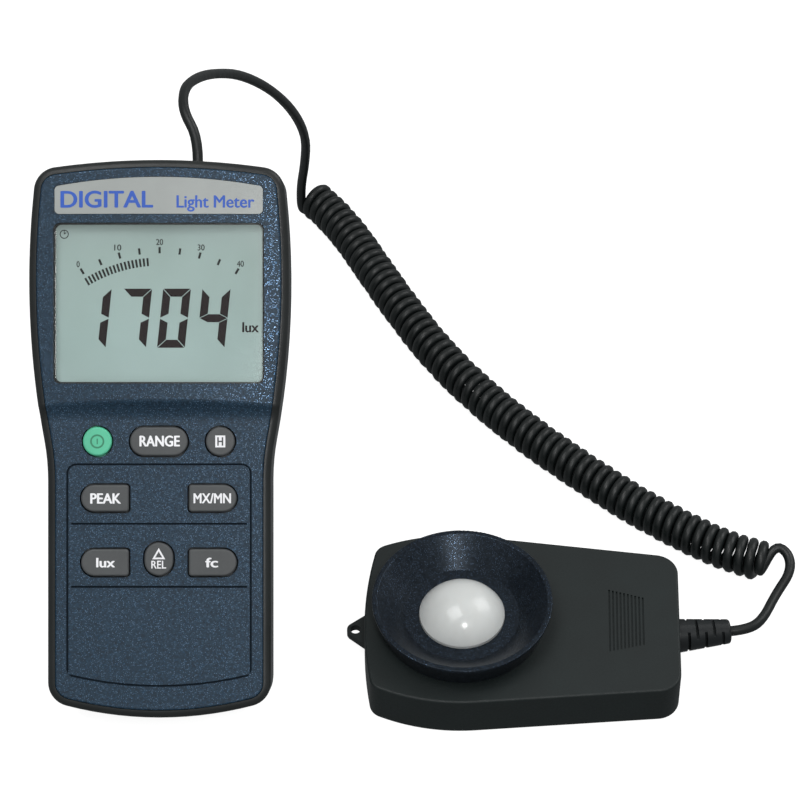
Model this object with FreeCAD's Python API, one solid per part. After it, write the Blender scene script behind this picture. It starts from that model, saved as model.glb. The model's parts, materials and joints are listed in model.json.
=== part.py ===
import FreeCAD, Part
import math
import os

# Handheld light meter on its open tilt stand, with a remote sensor head on a curly lead.
# Millimetres. Row frame: +X right along the pair, +Y towards the back, +Z up. The origin is at
# the bottom centre of the box that holds the meter and the sensor head, without the lead.
# The meter is modelled lying on its back (x across, y along its length, z out of its face)
# and is then leaned back on its stand. The sensor head is modelled about its collar's axis.

V = FreeCAD.Vector
X_AXIS = V(1, 0, 0)
Z_AXIS = V(0, 0, 1)
ORIGIN = V(0, 0, 0)

# ---------------------------------------------------------------- driving dimensions
# Meter case
CASE_LENGTH = 150.4
HEAD_HALF_WIDTH = 35.1
HEAD_WIDEST_Y = 118.0
HEAD_SIDE_RADIUS = 235.0
WAIST_HALF_WIDTH = 30.1
WAIST_BLEND_RADIUS = 60.0
FOOT_END_RADIUS = 100.0
TOP_END_RADIUS = 210.0
CORNER_RADIUS = 6.5
HUMP_Z = 34.0
CROWN_RADIUS = 420.0
DECK_DROP = 2.4
STEP_Y = 80.2
SCOOP_RADIUS = 6.6
HUMP_EDGE_RADIUS = 2.0
RIM_RADIUS = 1.9
BACK_EDGE_RADIUS = 5.0
SPLIT_Z = 14.0
WALL = 2.2
BACK_WALL = 2.2
ROOF = 1.6
RIM_WIDTH = 2.0
PANEL_THICKNESS = 1.4
PANEL_PROUD = 0.25
PANEL_FIT = 0.08
SEAM_STEP = 0.25

# Display
WINDOW_WIDTH = 56.4
WINDOW_HEIGHT = 43.0
WINDOW_Y = 111.8
WINDOW_CORNER = 1.6
WINDOW_FIT = 0.15
WINDOW_FLANGE = 1.2
WINDOW_THICKNESS = 1.8
WINDOW_RECESS = 0.35
LABEL_HALF_WIDTH = 28.0
LABEL_BOTTOM_Y = 135.8
LABEL_SIDE_Y = 143.2
LABEL_TOP_Y = 145.7
LABEL_THICKNESS = 0.5
GLASS_WIDTH = 59.0
GLASS_HEIGHT = 46.0
GLASS_THICKNESS = 2.6
GLASS_TOP_Z = 29.6
BACKING_THICKNESS = 0.9
FRAME_WALL = 1.4
CONTACT_STRIP_WIDTH = 1.8
CONTACT_STRIP_LENGTH = 50.0

# Keys
KEY_GAP = 0.4
KEY_PROUD = 1.3
KEY_TRAVEL = 0.8
KEY_FLANGE = 0.9
KEY_FLANGE_THICKNESS = 0.8
KEY_ROOF_GAP = 0.3
KEY_REST_GAP = 0.3
KEY_EDGE_RADIUS = 0.55
ROUND_KEY = 7.8
WIDE_KEY = 15.6
SIDE_KEY_WIDTH = 12.9
SIDE_KEY_HEIGHT = 7.3
SIDE_KEY_CORNER = 0.9
OVAL_KEY_HEIGHT = 9.0
TOP_ROW_Y = 74.6
MIDDLE_ROW_Y = 59.3
LOWER_ROW_Y = 42.0
OVAL_ROW_Y = 42.9
ROUND_KEY_X = 16.55
SIDE_KEY_X = 14.5
GROOVE_WIDTH = 0.6
GROOVE_DEPTH = 0.35
GROOVE_HALF_WIDTH = 24.7
GROOVE_TOP_Y = 68.4
GROOVE_SIDE_Y = 11.7
GROOVE_BOTTOM_Y = 8.7
GROOVE_LINE_HALF = 23.7
GROOVE_LINES_Y = (52.4, 35.4)
GROOVE_CORNER = 2.4

# Board and what is on it
BOARD_THICKNESS = 1.6
BOARD_TOP_Z = 24.9
BOARD_MARGIN = 0.8
MAT_THICKNESS = 0.8
MAT_DOME_RADIUS = 3.0
PILL_RADIUS = 1.6
PILL_THICKNESS = 0.35
PILL_LIFT = 0.35

# Battery, its box and its door
BATTERY_LENGTH = 48.5
BATTERY_WIDTH = 26.5
BATTERY_DEPTH = 17.5
BATTERY_FIT = 0.4
BATTERY_Y0 = 30.5
SNAP_THICKNESS = 3.2
SNAP_HALF_WIDTH = 12.2
SNAP_HALF_DEPTH = 5.4
TERMINAL_HEIGHT = 2.4
BOX_WALL = 1.2
BOX_ROOF = 0.8
DOOR_THICKNESS = 1.6
DOOR_GAP = 0.25
DOOR_MARGIN = 2.2
DOOR_LEDGE = 0.8
DOOR_LIFT = 0.12
DOOR_SCREW_MARGIN = 8.4
DOOR_BOSS_RADIUS = 3.3
DOOR_BOSS_TOP_Z = 5.2
DOOR_SCREW_TOP_Z = 7.8
DOOR_SCREW_CLEARANCE = 0.35

# Tilt stand
TILT_DEG = 42.0
STAND_OPEN_DEG = 75.0
STAND_HALF_WIDTH = 20.0
STAND_THICKNESS = 2.2
STAND_INSET = 0.0
STAND_GAP = 0.5
HINGE_Y = 105.0
HINGE_Z = 2.6
KNUCKLE_RADIUS = 2.2
PIN_RADIUS = 1.2
PIN_CLEARANCE = 0.05
PIN_BITE = 3.0
RECESS_DEPTH = 2.6

# Fasteners
SCREW_SHANK_RADIUS = 1.2
SCREW_HEAD_RADIUS = 2.3
SCREW_HEAD_HEIGHT = 1.6
SCREW_FIT = 0.15
BOSS_RADIUS = 3.0
CASE_SCREW_TOP_X = 28.4
CASE_SCREW_TOP_Y = 140.6
CASE_SCREW_FOOT_X = 22.0
CASE_SCREW_FOOT_Y = 11.5
CASE_SCREW_LENGTH = 18.0

# Lead and glands
CORD_DIAMETER = 2.9
COIL_DIAMETER = 12.0
WIRE_RADIUS = 0.45
WIRE_BEND = 0.7
GLAND_X = 9.4
GLAND_RADIUS = 3.0
GLAND_FLANGE_RADIUS = 4.0
GLAND_FLANGE = 1.2
GLAND_INNER_LENGTH = 2.0

# Sensor head
SENSOR_X = 82.2
SENSOR_Y = 19.8
SENSOR_TURN_DEG = -1.6
HEAD_TOP_Z = 13.3
HEAD_SPLIT_Z = 7.0
HEAD_WALL = 1.8
HEAD_HALF = 29.6
HEAD_BOW_X = 27.2
HEAD_END_X = 24.6
HEAD_END_HALF = 24.6
HEAD_FAR_X = 60.8
HEAD_FAR_HALF = 23.6
HEAD_NEAR_CORNER = 4.5
HEAD_FAR_CORNER = 6.5
HEAD_EDGE_RADIUS = 0.7
COLLAR_BASE_RADIUS = 23.0
COLLAR_RIM_RADIUS = 25.1
COLLAR_TOP_Z = 21.2
COLLAR_RIM_WIDTH = 1.4
COLLAR_FLOOR_RADIUS = 16.0
COLLAR_FLOOR_Z = 14.4
DOME_RADIUS = 11.9
DOME_SHOULDER_Z = 15.2
DOME_RISE = 7.2
DOME_WALL = 1.2
DOME_FLANGE_RADIUS = 14.0
DOME_FLANGE = 1.2
SEAT_FIT = 0.15
FILTER_RADIUS = 9.5
FILTER_THICKNESS = 1.5
DIODE_RADIUS = 5.5
SENSOR_BOARD_Z = 4.6
SENSOR_BOARD_LENGTH = 52.0
SENSOR_BOARD_WIDTH = 32.0
TAB_REACH = 32.2
TAB_HALF = 5.8
TAB_THICKNESS = 2.2
TAB_TIP_RADIUS = 2.4
EYE_RADIUS = 1.45
EYE_X = 29.8
RIB_COUNT = 10
RIB_PITCH = 1.04
RIB_WIDTH = 0.5
RIB_DEPTH = 0.5
RIB_X0 = 41.0
RIB_HALF_NEAR = 10.9
RIB_HALF_FAR = 8.4
BOOT_LENGTH = 14.6
BOOT_BEND_DEG = 8.0
BOOT_ROOT_RADIUS = 4.75
BOOT_TIP_RADIUS = 3.4
BOOT_RINGS = 6
BOOT_SLOT = 0.8
BOOT_INNER = 3.0

parts = {}
os.makedirs("parts", exist_ok=True)


# ---------------------------------------------------------------- general helpers
def box(x0, x1, y0, y1, z0, z1):
    return Part.makeBox(x1 - x0, y1 - y0, z1 - z0, V(x0, y0, z0))


def cylinder(radius, x, y, z0, z1):
    return Part.makeCylinder(radius, z1 - z0, V(x, y, z0), Z_AXIS)


def cone(r0, r1, x, y, z0, z1):
    return Part.makeCone(r0, r1, z1 - z0, V(x, y, z0), Z_AXIS)


def prism(edges, z0, z1):
    """The solid between two heights over a closed outline in the XY plane."""
    face = Part.Face(Part.Wire(Part.__sortEdges__(edges)))
    face.translate(V(0, 0, z0))
    return face.extrude(V(0, 0, z1 - z0))


def line(a, b):
    return Part.makeLine(V(a[0], a[1], 0), V(b[0], b[1], 0))


def arc(a, middle, b):
    points = [V(p[0], p[1], 0) for p in (a, middle, b)]
    return Part.Arc(*points).toShape()


def upright_edges_at(shape, spots, reach=0.05):
    """The edges along Z that stand on the given XY spots."""
    found = []
    for edge in shape.Edges:
        a = edge.Vertexes[0].Point
        b = edge.Vertexes[-1].Point
        if abs(a.x - b.x) > reach or abs(a.y - b.y) > reach or abs(a.z - b.z) < reach:
            continue
        if any(math.hypot(a.x - x, a.y - y) < reach for x, y in spots):
            found.append(edge)
    return found


def rounded_box(x0, x1, y0, y1, z0, z1, radius):
    block = box(x0, x1, y0, y1, z0, z1)
    spots = [(x, y) for x in (x0, x1) for y in (y0, y1)]
    return block.makeFillet(radius, upright_edges_at(block, spots))


def edges_at_height(shape, z, reach=0.01):
    return [e for e in shape.Edges if abs(e.BoundBox.ZMin - z) < reach and abs(e.BoundBox.ZMax - z) < reach]


def fuse(shapes):
    first = shapes[0]
    for other in shapes[1:]:
        first = first.fuse(other)
    return first.removeSplitter()


def group(shapes):
    return Part.makeCompound(shapes)


def revolve(points):
    """A ring about the Z axis from a closed outline of (radius, height) points."""
    outline = [V(r, 0, z) for r, z in points]
    face = Part.Face(Part.makePolygon(outline + [outline[0]]))
    return face.revolve(ORIGIN, Z_AXIS, 360)


# ---------------------------------------------------------------- meter case outline and top
def circle_point(centre, radius, angle):
    return (centre[0] + radius * math.cos(angle), centre[1] + radius * math.sin(angle))


def case_outline(inset):
    """Edges of the case's outline, moved in by inset, and its four sharp corners."""
    side_centre = (HEAD_HALF_WIDTH - HEAD_SIDE_RADIUS, HEAD_WIDEST_Y)
    side_radius = HEAD_SIDE_RADIUS - inset
    blend_x = WAIST_HALF_WIDTH + WAIST_BLEND_RADIUS
    between_x = blend_x - side_centre[0]
    between = HEAD_SIDE_RADIUS + WAIST_BLEND_RADIUS
    blend_y = HEAD_WIDEST_Y - math.sqrt(between**2 - between_x**2)
    blend_radius = WAIST_BLEND_RADIUS + inset
    join_angle = math.atan2(blend_y - HEAD_WIDEST_Y, between_x)
    join = circle_point(side_centre, side_radius, join_angle)
    blend_middle = circle_point((blend_x, blend_y), blend_radius, math.pi + join_angle / 2)
    waist = (WAIST_HALF_WIDTH - inset, blend_y)
    foot_radius = FOOT_END_RADIUS - inset
    foot_y = FOOT_END_RADIUS - math.sqrt(foot_radius**2 - waist[0] ** 2)
    foot = (waist[0], foot_y)
    top_centre = (0.0, CASE_LENGTH - TOP_END_RADIUS)
    top_radius = TOP_END_RADIUS - inset
    top = circles_meet(side_centre, side_radius, top_centre, top_radius)
    top_angle = math.atan2(top[1] - side_centre[1], top[0] - side_centre[0])
    side_middle = circle_point(side_centre, side_radius, (join_angle + top_angle) / 2)
    right = [
        line(foot, waist),
        arc(waist, blend_middle, join),
        arc(join, side_middle, top),
    ]
    left = [e.mirror(ORIGIN, X_AXIS) for e in right]
    ends = [
        arc((-foot[0], foot[1]), (0, inset), foot),
        arc(top, (0, CASE_LENGTH - inset), (-top[0], top[1])),
    ]
    corners = [foot, top, (-foot[0], foot[1]), (-top[0], top[1])]
    return right + left + ends, corners


def circles_meet(centre_a, radius_a, centre_b, radius_b):
    """Where two circles cross, on the side with the larger x."""
    dx = centre_b[0] - centre_a[0]
    dy = centre_b[1] - centre_a[1]
    apart = math.hypot(dx, dy)
    along = (apart**2 + radius_a**2 - radius_b**2) / (2 * apart)
    off = math.sqrt(radius_a**2 - along**2)
    x = centre_a[0] + along * dx / apart
    y = centre_a[1] + along * dy / apart
    pair = [(x + s * off * dy / apart, y - s * off * dx / apart) for s in (1, -1)]
    return max(pair)


def case_prism(inset, z0, z1):
    edges, corners = case_outline(inset)
    solid = prism(edges, z0, z1)
    radius = max(CORNER_RADIUS - inset, 1.0)
    return solid.makeFillet(radius, upright_edges_at(solid, corners))


DECK_Z = HUMP_Z - DECK_DROP


def make_envelope():
    """Everything under the crowned hump and the flat key deck, with the scooped step between."""
    reach = HEAD_HALF_WIDTH + 2.5
    depth = 60.0
    far = CASE_LENGTH + 30
    top = HUMP_Z + 3
    rise = top - DECK_Z
    slope = math.acos((SCOOP_RADIUS - min(rise, SCOOP_RADIUS * 0.93)) / SCOOP_RADIUS)
    centre = (STEP_Y, DECK_Z + SCOOP_RADIUS)
    a = (STEP_Y, DECK_Z)
    middle = (centre[0] + SCOOP_RADIUS * math.sin(slope / 2), centre[1] - SCOOP_RADIUS * math.cos(slope / 2))
    b = (centre[0] + SCOOP_RADIUS * math.sin(slope), centre[1] - SCOOP_RADIUS * math.cos(slope))
    corners = [b, (b[0], top + 6), (far, top + 6), (far, -depth), (-30, -depth), (-30, DECK_Z), a]
    points = [V(-reach, y, z) for y, z in corners]
    edges = [Part.makeLine(p, q) for p, q in zip(points, points[1:])]
    scoop = Part.Arc(V(-reach, *a), V(-reach, *middle), V(-reach, *b)).toShape()
    wire = Part.Wire(Part.__sortEdges__(edges + [scoop]))
    stepped = Part.Face(wire).extrude(V(2 * reach, 0, 0))
    crown_length = far + 40
    crown = Part.makeCylinder(CROWN_RADIUS, crown_length, V(0, -35, HUMP_Z - CROWN_RADIUS), V(0, 1, 0))
    body = stepped.common(crown)
    lip = []
    for edge in body.Edges:
        bounds = edge.BoundBox
        if bounds.XLength > reach and bounds.YMin > STEP_Y + 0.5 and bounds.YMax < STEP_Y + 12:
            lip.append(edge)
    return body.makeFillet(HUMP_EDGE_RADIUS, lip)


ENVELOPE = make_envelope()


def under_top(shape, lift):
    """The part of a shape that is below the case's top surface moved up by lift."""
    shell = ENVELOPE.copy()
    shell.translate(V(0, 0, lift))
    return shape.common(shell)


def over_top(shape, lift):
    shell = ENVELOPE.copy()
    shell.translate(V(0, 0, lift))
    return shape.cut(shell)


# ---------------------------------------------------------------- keys
def key_edges(kind, grow):
    """A key's outline about its own centre, grown by grow."""
    if kind == "round":
        radius = ROUND_KEY / 2 + grow
        return [Part.Circle(ORIGIN, Z_AXIS, radius).toShape()]
    if kind == "wide":
        radius = ROUND_KEY / 2 + grow
        flat = WIDE_KEY / 2 - ROUND_KEY / 2
        return [
            line((-flat, -radius), (flat, -radius)),
            arc((flat, -radius), (flat + radius, 0), (flat, radius)),
            line((flat, radius), (-flat, radius)),
            arc((-flat, radius), (-flat - radius, 0), (-flat, -radius)),
        ]
    if kind == "oval":
        radius = ROUND_KEY / 2 + grow
        flat = OVAL_KEY_HEIGHT / 2 - ROUND_KEY / 2
        return [
            line((radius, -flat), (radius, flat)),
            arc((radius, flat), (0, flat + radius), (-radius, flat)),
            line((-radius, flat), (-radius, -flat)),
            arc((-radius, -flat), (0, -flat - radius), (radius, -flat)),
        ]
    side = 1 if kind == "left_round" else -1
    half = SIDE_KEY_WIDTH / 2 + grow
    high = SIDE_KEY_HEIGHT / 2 + grow
    bow = SIDE_KEY_HEIGHT / 2
    corner = SIDE_KEY_CORNER + grow
    near = side * (half - corner)
    far = -side * (SIDE_KEY_WIDTH / 2 - bow)
    diagonal = corner * math.sqrt(0.5)
    return [
        line((far, high), (near, high)),
        arc((near, high), (near + side * diagonal, high - corner + diagonal), (side * half, high - corner)),
        line((side * half, high - corner), (side * half, corner - high)),
        arc((side * half, corner - high), (near + side * diagonal, corner - high - diagonal), (near, -high)),
        line((near, -high), (far, -high)),
        arc((far, -high), (-side * half, 0), (far, high)),
    ]


KEYS = {
    "key_power": ("round", -ROUND_KEY_X, TOP_ROW_Y),
    "key_range": ("wide", 0.0, TOP_ROW_Y),
    "key_hold": ("round", ROUND_KEY_X, TOP_ROW_Y),
    "key_peak": ("left_round", -SIDE_KEY_X, MIDDLE_ROW_Y),
    "key_max_min": ("right_round", SIDE_KEY_X, MIDDLE_ROW_Y),
    "key_lux": ("left_round", -SIDE_KEY_X, LOWER_ROW_Y),
    "key_relative": ("oval", 0.0, OVAL_ROW_Y),
    "key_foot_candle": ("right_round", SIDE_KEY_X, LOWER_ROW_Y),
}
ROOF_UNDER_Z = DECK_Z - PANEL_THICKNESS - ROOF
FLANGE_TOP_Z = ROOF_UNDER_Z - KEY_ROOF_GAP
FLANGE_UNDER_Z = FLANGE_TOP_Z - KEY_FLANGE_THICKNESS
DOME_TOP_Z = FLANGE_UNDER_Z - KEY_TRAVEL - KEY_REST_GAP


def key_prism(name, grow, z0, z1):
    kind, x, y = KEYS[name]
    solid = prism(key_edges(kind, grow), z0, z1)
    solid.translate(V(x, y, 0))
    return solid


def make_key(name):
    cap_top = DECK_Z + KEY_PROUD
    cap = key_prism(name, 0.0, FLANGE_UNDER_Z, cap_top)
    cap = cap.makeFillet(KEY_EDGE_RADIUS, edges_at_height(cap, cap_top))
    flange = key_prism(name, KEY_FLANGE, FLANGE_UNDER_Z, FLANGE_TOP_Z)
    return fuse([cap, flange])


# ---------------------------------------------------------------- window, label and panel
def window_block(grow, z0, z1):
    half_x = WINDOW_WIDTH / 2 + grow
    half_y = WINDOW_HEIGHT / 2 + grow
    corner = WINDOW_CORNER + max(grow, 0)
    return rounded_box(-half_x, half_x, WINDOW_Y - half_y, WINDOW_Y + half_y, z0, z1, corner)


def label_block(grow, z0, z1):
    half = LABEL_HALF_WIDTH + grow
    bottom = LABEL_BOTTOM_Y - grow
    side = LABEL_SIDE_Y + grow
    edges = [
        line((-half, bottom), (half, bottom)),
        line((half, bottom), (half, side)),
        arc((half, side), (0, LABEL_TOP_Y + grow), (-half, side)),
        line((-half, side), (-half, bottom)),
    ]
    solid = prism(edges, z0, z1)
    spots = [(sx * half, y) for sx in (1, -1) for y in (bottom, side)]
    return solid.makeFillet(1.2, upright_edges_at(solid, spots))


def groove_outline(grow, z0, z1):
    half = GROOVE_HALF_WIDTH + grow
    top = GROOVE_TOP_Y + grow
    side = GROOVE_SIDE_Y - grow
    edges = [
        line((half, side), (half, top)),
        line((half, top), (-half, top)),
        line((-half, top), (-half, side)),
        arc((-half, side), (0, GROOVE_BOTTOM_Y - grow), (half, side)),
    ]
    solid = prism(edges, z0, z1)
    spots = [(sx * half, y) for sx in (1, -1) for y in (top, side)]
    return solid.makeFillet(GROOVE_CORNER + grow, upright_edges_at(solid, spots))


def make_grooves():
    floor = DECK_Z + PANEL_PROUD - GROOVE_DEPTH
    top = DECK_Z + 3
    half = GROOVE_WIDTH / 2
    ring = groove_outline(half, floor, top).cut(groove_outline(-half, floor - 1, top + 1))
    cutters = [ring]
    for y in GROOVE_LINES_Y:
        cutters.append(box(-GROOVE_LINE_HALF, GROOVE_LINE_HALF, y - half, y + half, floor, top))
    return cutters


def make_face_panel():
    body = under_top(case_prism(RIM_WIDTH + PANEL_FIT, 20, HUMP_Z + 2), PANEL_PROUD)
    rim = [e for e in body.Edges if e.BoundBox.ZMin > DECK_Z - 1]
    body = body.makeFillet(0.5, rim)
    body = over_top(body, -PANEL_THICKNESS)
    body = body.cut(window_block(WINDOW_FIT, 10, 50))
    label_cut = over_top(label_block(WINDOW_FIT, 20, 50), PANEL_PROUD - LABEL_THICKNESS - 0.1)
    body = body.cut(label_cut)
    for name in KEYS:
        body = body.cut(key_prism(name, KEY_GAP, 10, 50))
    for cutter in make_grooves():
        body = body.cut(cutter)
    return body


def make_name_label():
    plate = under_top(label_block(0, 20, 50), PANEL_PROUD - 0.1)
    return over_top(plate, PANEL_PROUD - LABEL_THICKNESS - 0.1)


def make_window():
    lens = under_top(window_block(0, 20, 50), PANEL_PROUD - WINDOW_RECESS)
    lens = over_top(lens, PANEL_PROUD - WINDOW_RECESS - WINDOW_THICKNESS)
    flange = under_top(window_block(WINDOW_FLANGE, 20, 50), -PANEL_THICKNESS)
    flange = over_top(flange, PANEL_PROUD - WINDOW_RECESS - WINDOW_THICKNESS)
    return fuse([lens, flange])


# ---------------------------------------------------------------- case halves
CASE_SCREWS = [
    (CASE_SCREW_TOP_X, CASE_SCREW_TOP_Y),
    (-CASE_SCREW_TOP_X, CASE_SCREW_TOP_Y),
    (CASE_SCREW_FOOT_X, CASE_SCREW_FOOT_Y),
    (-CASE_SCREW_FOOT_X, CASE_SCREW_FOOT_Y),
]
FLOOR_TOP_Z = RECESS_DEPTH + DOOR_THICKNESS
BATTERY_LIFT = 0.2
BATTERY_Z0 = FLOOR_TOP_Z + BATTERY_LIFT
BATTERY_TOP_Z = BATTERY_Z0 + BATTERY_DEPTH
BATTERY_END_Y = BATTERY_Y0 + BATTERY_LENGTH
SNAP_MIDDLE_Z = (BATTERY_Z0 + BATTERY_TOP_Z) / 2
SNAP_END_Y = BATTERY_END_Y + TERMINAL_HEIGHT + SNAP_THICKNESS
BOX_HALF = BATTERY_WIDTH / 2 + BATTERY_FIT
BOX_Y0 = BATTERY_Y0 - BATTERY_FIT
BOX_Y1 = SNAP_END_Y + BATTERY_FIT
DOOR_HALF = BOX_HALF + DOOR_MARGIN
DOOR_Y0 = BOX_Y0 - DOOR_MARGIN
DOOR_Y1 = BOX_Y1 + DOOR_SCREW_MARGIN
DOOR_SCREW_Y = DOOR_Y1 - DOOR_SCREW_MARGIN / 2
RECESS_HALF = STAND_HALF_WIDTH + STAND_GAP
RECESS_Y1 = HINGE_Y + KNUCKLE_RADIUS + STAND_GAP
BOARD_UNDER_Z = BOARD_TOP_Z - BOARD_THICKNESS
KNUCKLE_Y0 = HINGE_Y - KNUCKLE_RADIUS - STAND_GAP
KNUCKLE_TOP_Z = HINGE_Z + KNUCKLE_RADIUS + STAND_GAP
KNUCKLE_ROOM_HALF = STAND_HALF_WIDTH + 0.3
SCREW_SEAT_Z = 3.0
LEAD_SLOT = 2.0
LEAD_SLOT_HALF = 5.0
TERMINAL_X = 6.4
GLAND_SEAT = 0.6
GLAND_OUT_Y = CASE_LENGTH + GLAND_FLANGE - GLAND_SEAT
GLAND_WALL_Y = CASE_LENGTH - WALL - SEAM_STEP - 0.5
GLAND_IN_Y = GLAND_WALL_Y - GLAND_INNER_LENGTH
GLASS_FIT = 0.2
MAT_Y0 = LOWER_ROW_Y - 7.0
MAT_Y1 = TOP_ROW_Y + 6.5
HEAD_SCREW_SEAT_Z = 2.2
SENSOR_BOARD_X = 17.0
TAB_DROP = 0.3
BOOT_NECK_RADIUS = 3.4
BUZZER_AT = (-17.0, 124.0)
BUZZER_RADIUS = 6.0
BUZZER_HEIGHT = 5.0
TRIMMER_AT = (20.0, 98.0)
BOARD_CHIPS = [
    (3.0, 118.0, 14.0, 14.0, 1.9),
    (-17.0, 102.0, 8.0, 10.0, 1.7),
    (19.0, 116.0, 6.0, 8.0, 1.7),
    (2.0, 99.0, 6.0, 5.0, 1.5),
]
BOARD_CANS = [
    (18.0, 130.0, 3.2, 7.0),
    (9.0, 132.0, 2.5, 6.0),
    (-6.0, 133.0, 2.5, 6.0),
]


def gland_cutter(radius):
    depth = WALL + 6
    start = V(GLAND_X, CASE_LENGTH - depth, SPLIT_Z)
    return Part.makeCylinder(radius, depth + 10, start, V(0, 1, 0))


def gland_seat():
    start = V(GLAND_X, CASE_LENGTH - GLAND_SEAT, SPLIT_Z)
    return Part.makeCylinder(GLAND_FLANGE_RADIUS + 0.1, 10, start, V(0, 1, 0))


def make_front_case():
    outer = under_top(case_prism(0, SPLIT_Z, HUMP_Z + 2), 0)
    rim = [e for e in outer.Edges if e.BoundBox.ZMin > DECK_Z - 1]
    outer = outer.makeFillet(RIM_RADIUS, rim)
    hollow = under_top(case_prism(WALL, SPLIT_Z - 1, HUMP_Z + 2), -PANEL_THICKNESS - ROOF)
    body = outer.cut(hollow)
    seat = over_top(case_prism(RIM_WIDTH, 20, HUMP_Z + 4), -PANEL_THICKNESS)
    body = body.cut(seat)
    pocket_lift = PANEL_PROUD - WINDOW_RECESS - WINDOW_THICKNESS
    body = body.cut(over_top(window_block(WINDOW_FLANGE + WINDOW_FIT, 20, 50), pocket_lift))
    body = body.cut(window_block(-0.3, 20, 50))
    for name in KEYS:
        body = body.cut(key_prism(name, KEY_GAP, 20, 50))
    for x, y in CASE_SCREWS:
        boss = under_top(cylinder(BOSS_RADIUS, x, y, SPLIT_Z, HUMP_Z), -PANEL_THICKNESS - ROOF / 2)
        boss = boss.common(case_prism(WALL / 2, SPLIT_Z, HUMP_Z))
        body = body.fuse(boss)
    for x, y in CASE_SCREWS:
        body = body.cut(cylinder(SCREW_SHANK_RADIUS, x, y, SPLIT_Z - 1, SPLIT_Z + 10))
    body = body.cut(gland_cutter(GLAND_RADIUS)).cut(gland_seat())
    return body.removeSplitter()


def make_rear_case():
    outer = case_prism(SEAM_STEP, 0, SPLIT_Z)
    outer = outer.makeFillet(BACK_EDGE_RADIUS, edges_at_height(outer, 0))
    hollow = case_prism(WALL + SEAM_STEP, BACK_WALL, SPLIT_Z + 1)
    body = outer.cut(hollow)
    pad_half = RECESS_HALF + BOX_WALL
    pad = box(-pad_half, pad_half, stand_low_y() - BOX_WALL, RECESS_Y1 + BOX_WALL, 0.5, FLOOR_TOP_Z)
    hinge_pad = box(
        -pad_half, pad_half, KNUCKLE_Y0 - BOX_WALL, RECESS_Y1 + BOX_WALL, 0.5, KNUCKLE_TOP_Z + BOX_WALL
    )
    cell_top = BATTERY_TOP_Z + BATTERY_LIFT + BOX_ROOF
    cell_half = BOX_HALF + BOX_WALL
    cell = box(-cell_half, cell_half, BOX_Y0 - BOX_WALL, BOX_Y1 + BOX_WALL, 1.0, cell_top)
    nut = cylinder(DOOR_BOSS_RADIUS + 1.6, 0, DOOR_SCREW_Y, 1.0, DOOR_SCREW_TOP_Z + 2)
    pin_half = RECESS_HALF + BOX_WALL + PIN_BITE
    ears = []
    for side in (1, -1):
        xs = sorted((side * KNUCKLE_ROOM_HALF, side * (pin_half + 1)))
        ears.append(box(*xs, HINGE_Y - 3.4, HINGE_Y + 3.4, 0.5, HINGE_Z + 3.4))
    posts = [cylinder(BOSS_RADIUS, x, y, 0.5, SPLIT_Z) for x, y in CASE_SCREWS]
    body = fuse([body, pad, hinge_pad, cell, nut] + ears + posts)
    cuts = [
        rounded_box(-RECESS_HALF, RECESS_HALF, stand_low_y(), RECESS_Y1, -1, RECESS_DEPTH, 2.0),
        box(-KNUCKLE_ROOM_HALF, KNUCKLE_ROOM_HALF, KNUCKLE_Y0, RECESS_Y1, -1, KNUCKLE_TOP_Z),
        box(-BOX_HALF, BOX_HALF, BOX_Y0, BOX_Y1, 0, BATTERY_TOP_Z + BATTERY_LIFT),
        door_block(DOOR_GAP, -1, FLOOR_TOP_Z - DOOR_LEDGE),
        cylinder(DOOR_BOSS_RADIUS + DOOR_GAP, 0, DOOR_SCREW_Y, 0, DOOR_BOSS_TOP_Z + DOOR_GAP),
        cylinder(SCREW_SHANK_RADIUS + DOOR_SCREW_CLEARANCE, 0, DOOR_SCREW_Y, 0, DOOR_SCREW_TOP_Z + 1),
        box(-LEAD_SLOT_HALF, LEAD_SLOT_HALF, BOX_Y1 - LEAD_SLOT, BOX_Y1, BATTERY_TOP_Z, cell_top + 1),
        Part.makeCylinder(PIN_RADIUS, 2 * pin_half, V(-pin_half, HINGE_Y, HINGE_Z), X_AXIS),
        gland_cutter(GLAND_RADIUS),
        gland_seat(),
    ]
    for x, y in CASE_SCREWS:
        cuts.append(cylinder(SCREW_HEAD_RADIUS + SCREW_FIT, x, y, -1, SCREW_SEAT_Z))
        cuts.append(cylinder(SCREW_SHANK_RADIUS + SCREW_FIT, x, y, 0, SPLIT_Z + 1))
    for cutter in cuts:
        body = body.cut(cutter)
    return body


def stand_length():
    """From the hinge's axis to the middle of the rounded foot, so that the foot meets the floor."""
    tilt = math.radians(TILT_DEG)
    leg = math.radians(TILT_DEG + STAND_OPEN_DEG)
    hinge_height = HINGE_Y * math.sin(tilt) + HINGE_Z * math.cos(tilt) - meter_lift()
    offset = HINGE_Z - STAND_INSET - STAND_THICKNESS / 2
    return (hinge_height - offset * math.cos(leg) - STAND_THICKNESS / 2) / math.sin(leg)


def stand_low_y():
    return HINGE_Y - stand_length() - STAND_THICKNESS / 2 - STAND_GAP


def meter_lift():
    """How far the leaned case's lowest point is over the corner that its frame starts from."""
    tilt = math.radians(TILT_DEG)
    y = BACK_EDGE_RADIUS + SEAM_STEP
    return y * math.sin(tilt) + BACK_EDGE_RADIUS * (math.cos(tilt) - 1)


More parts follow.
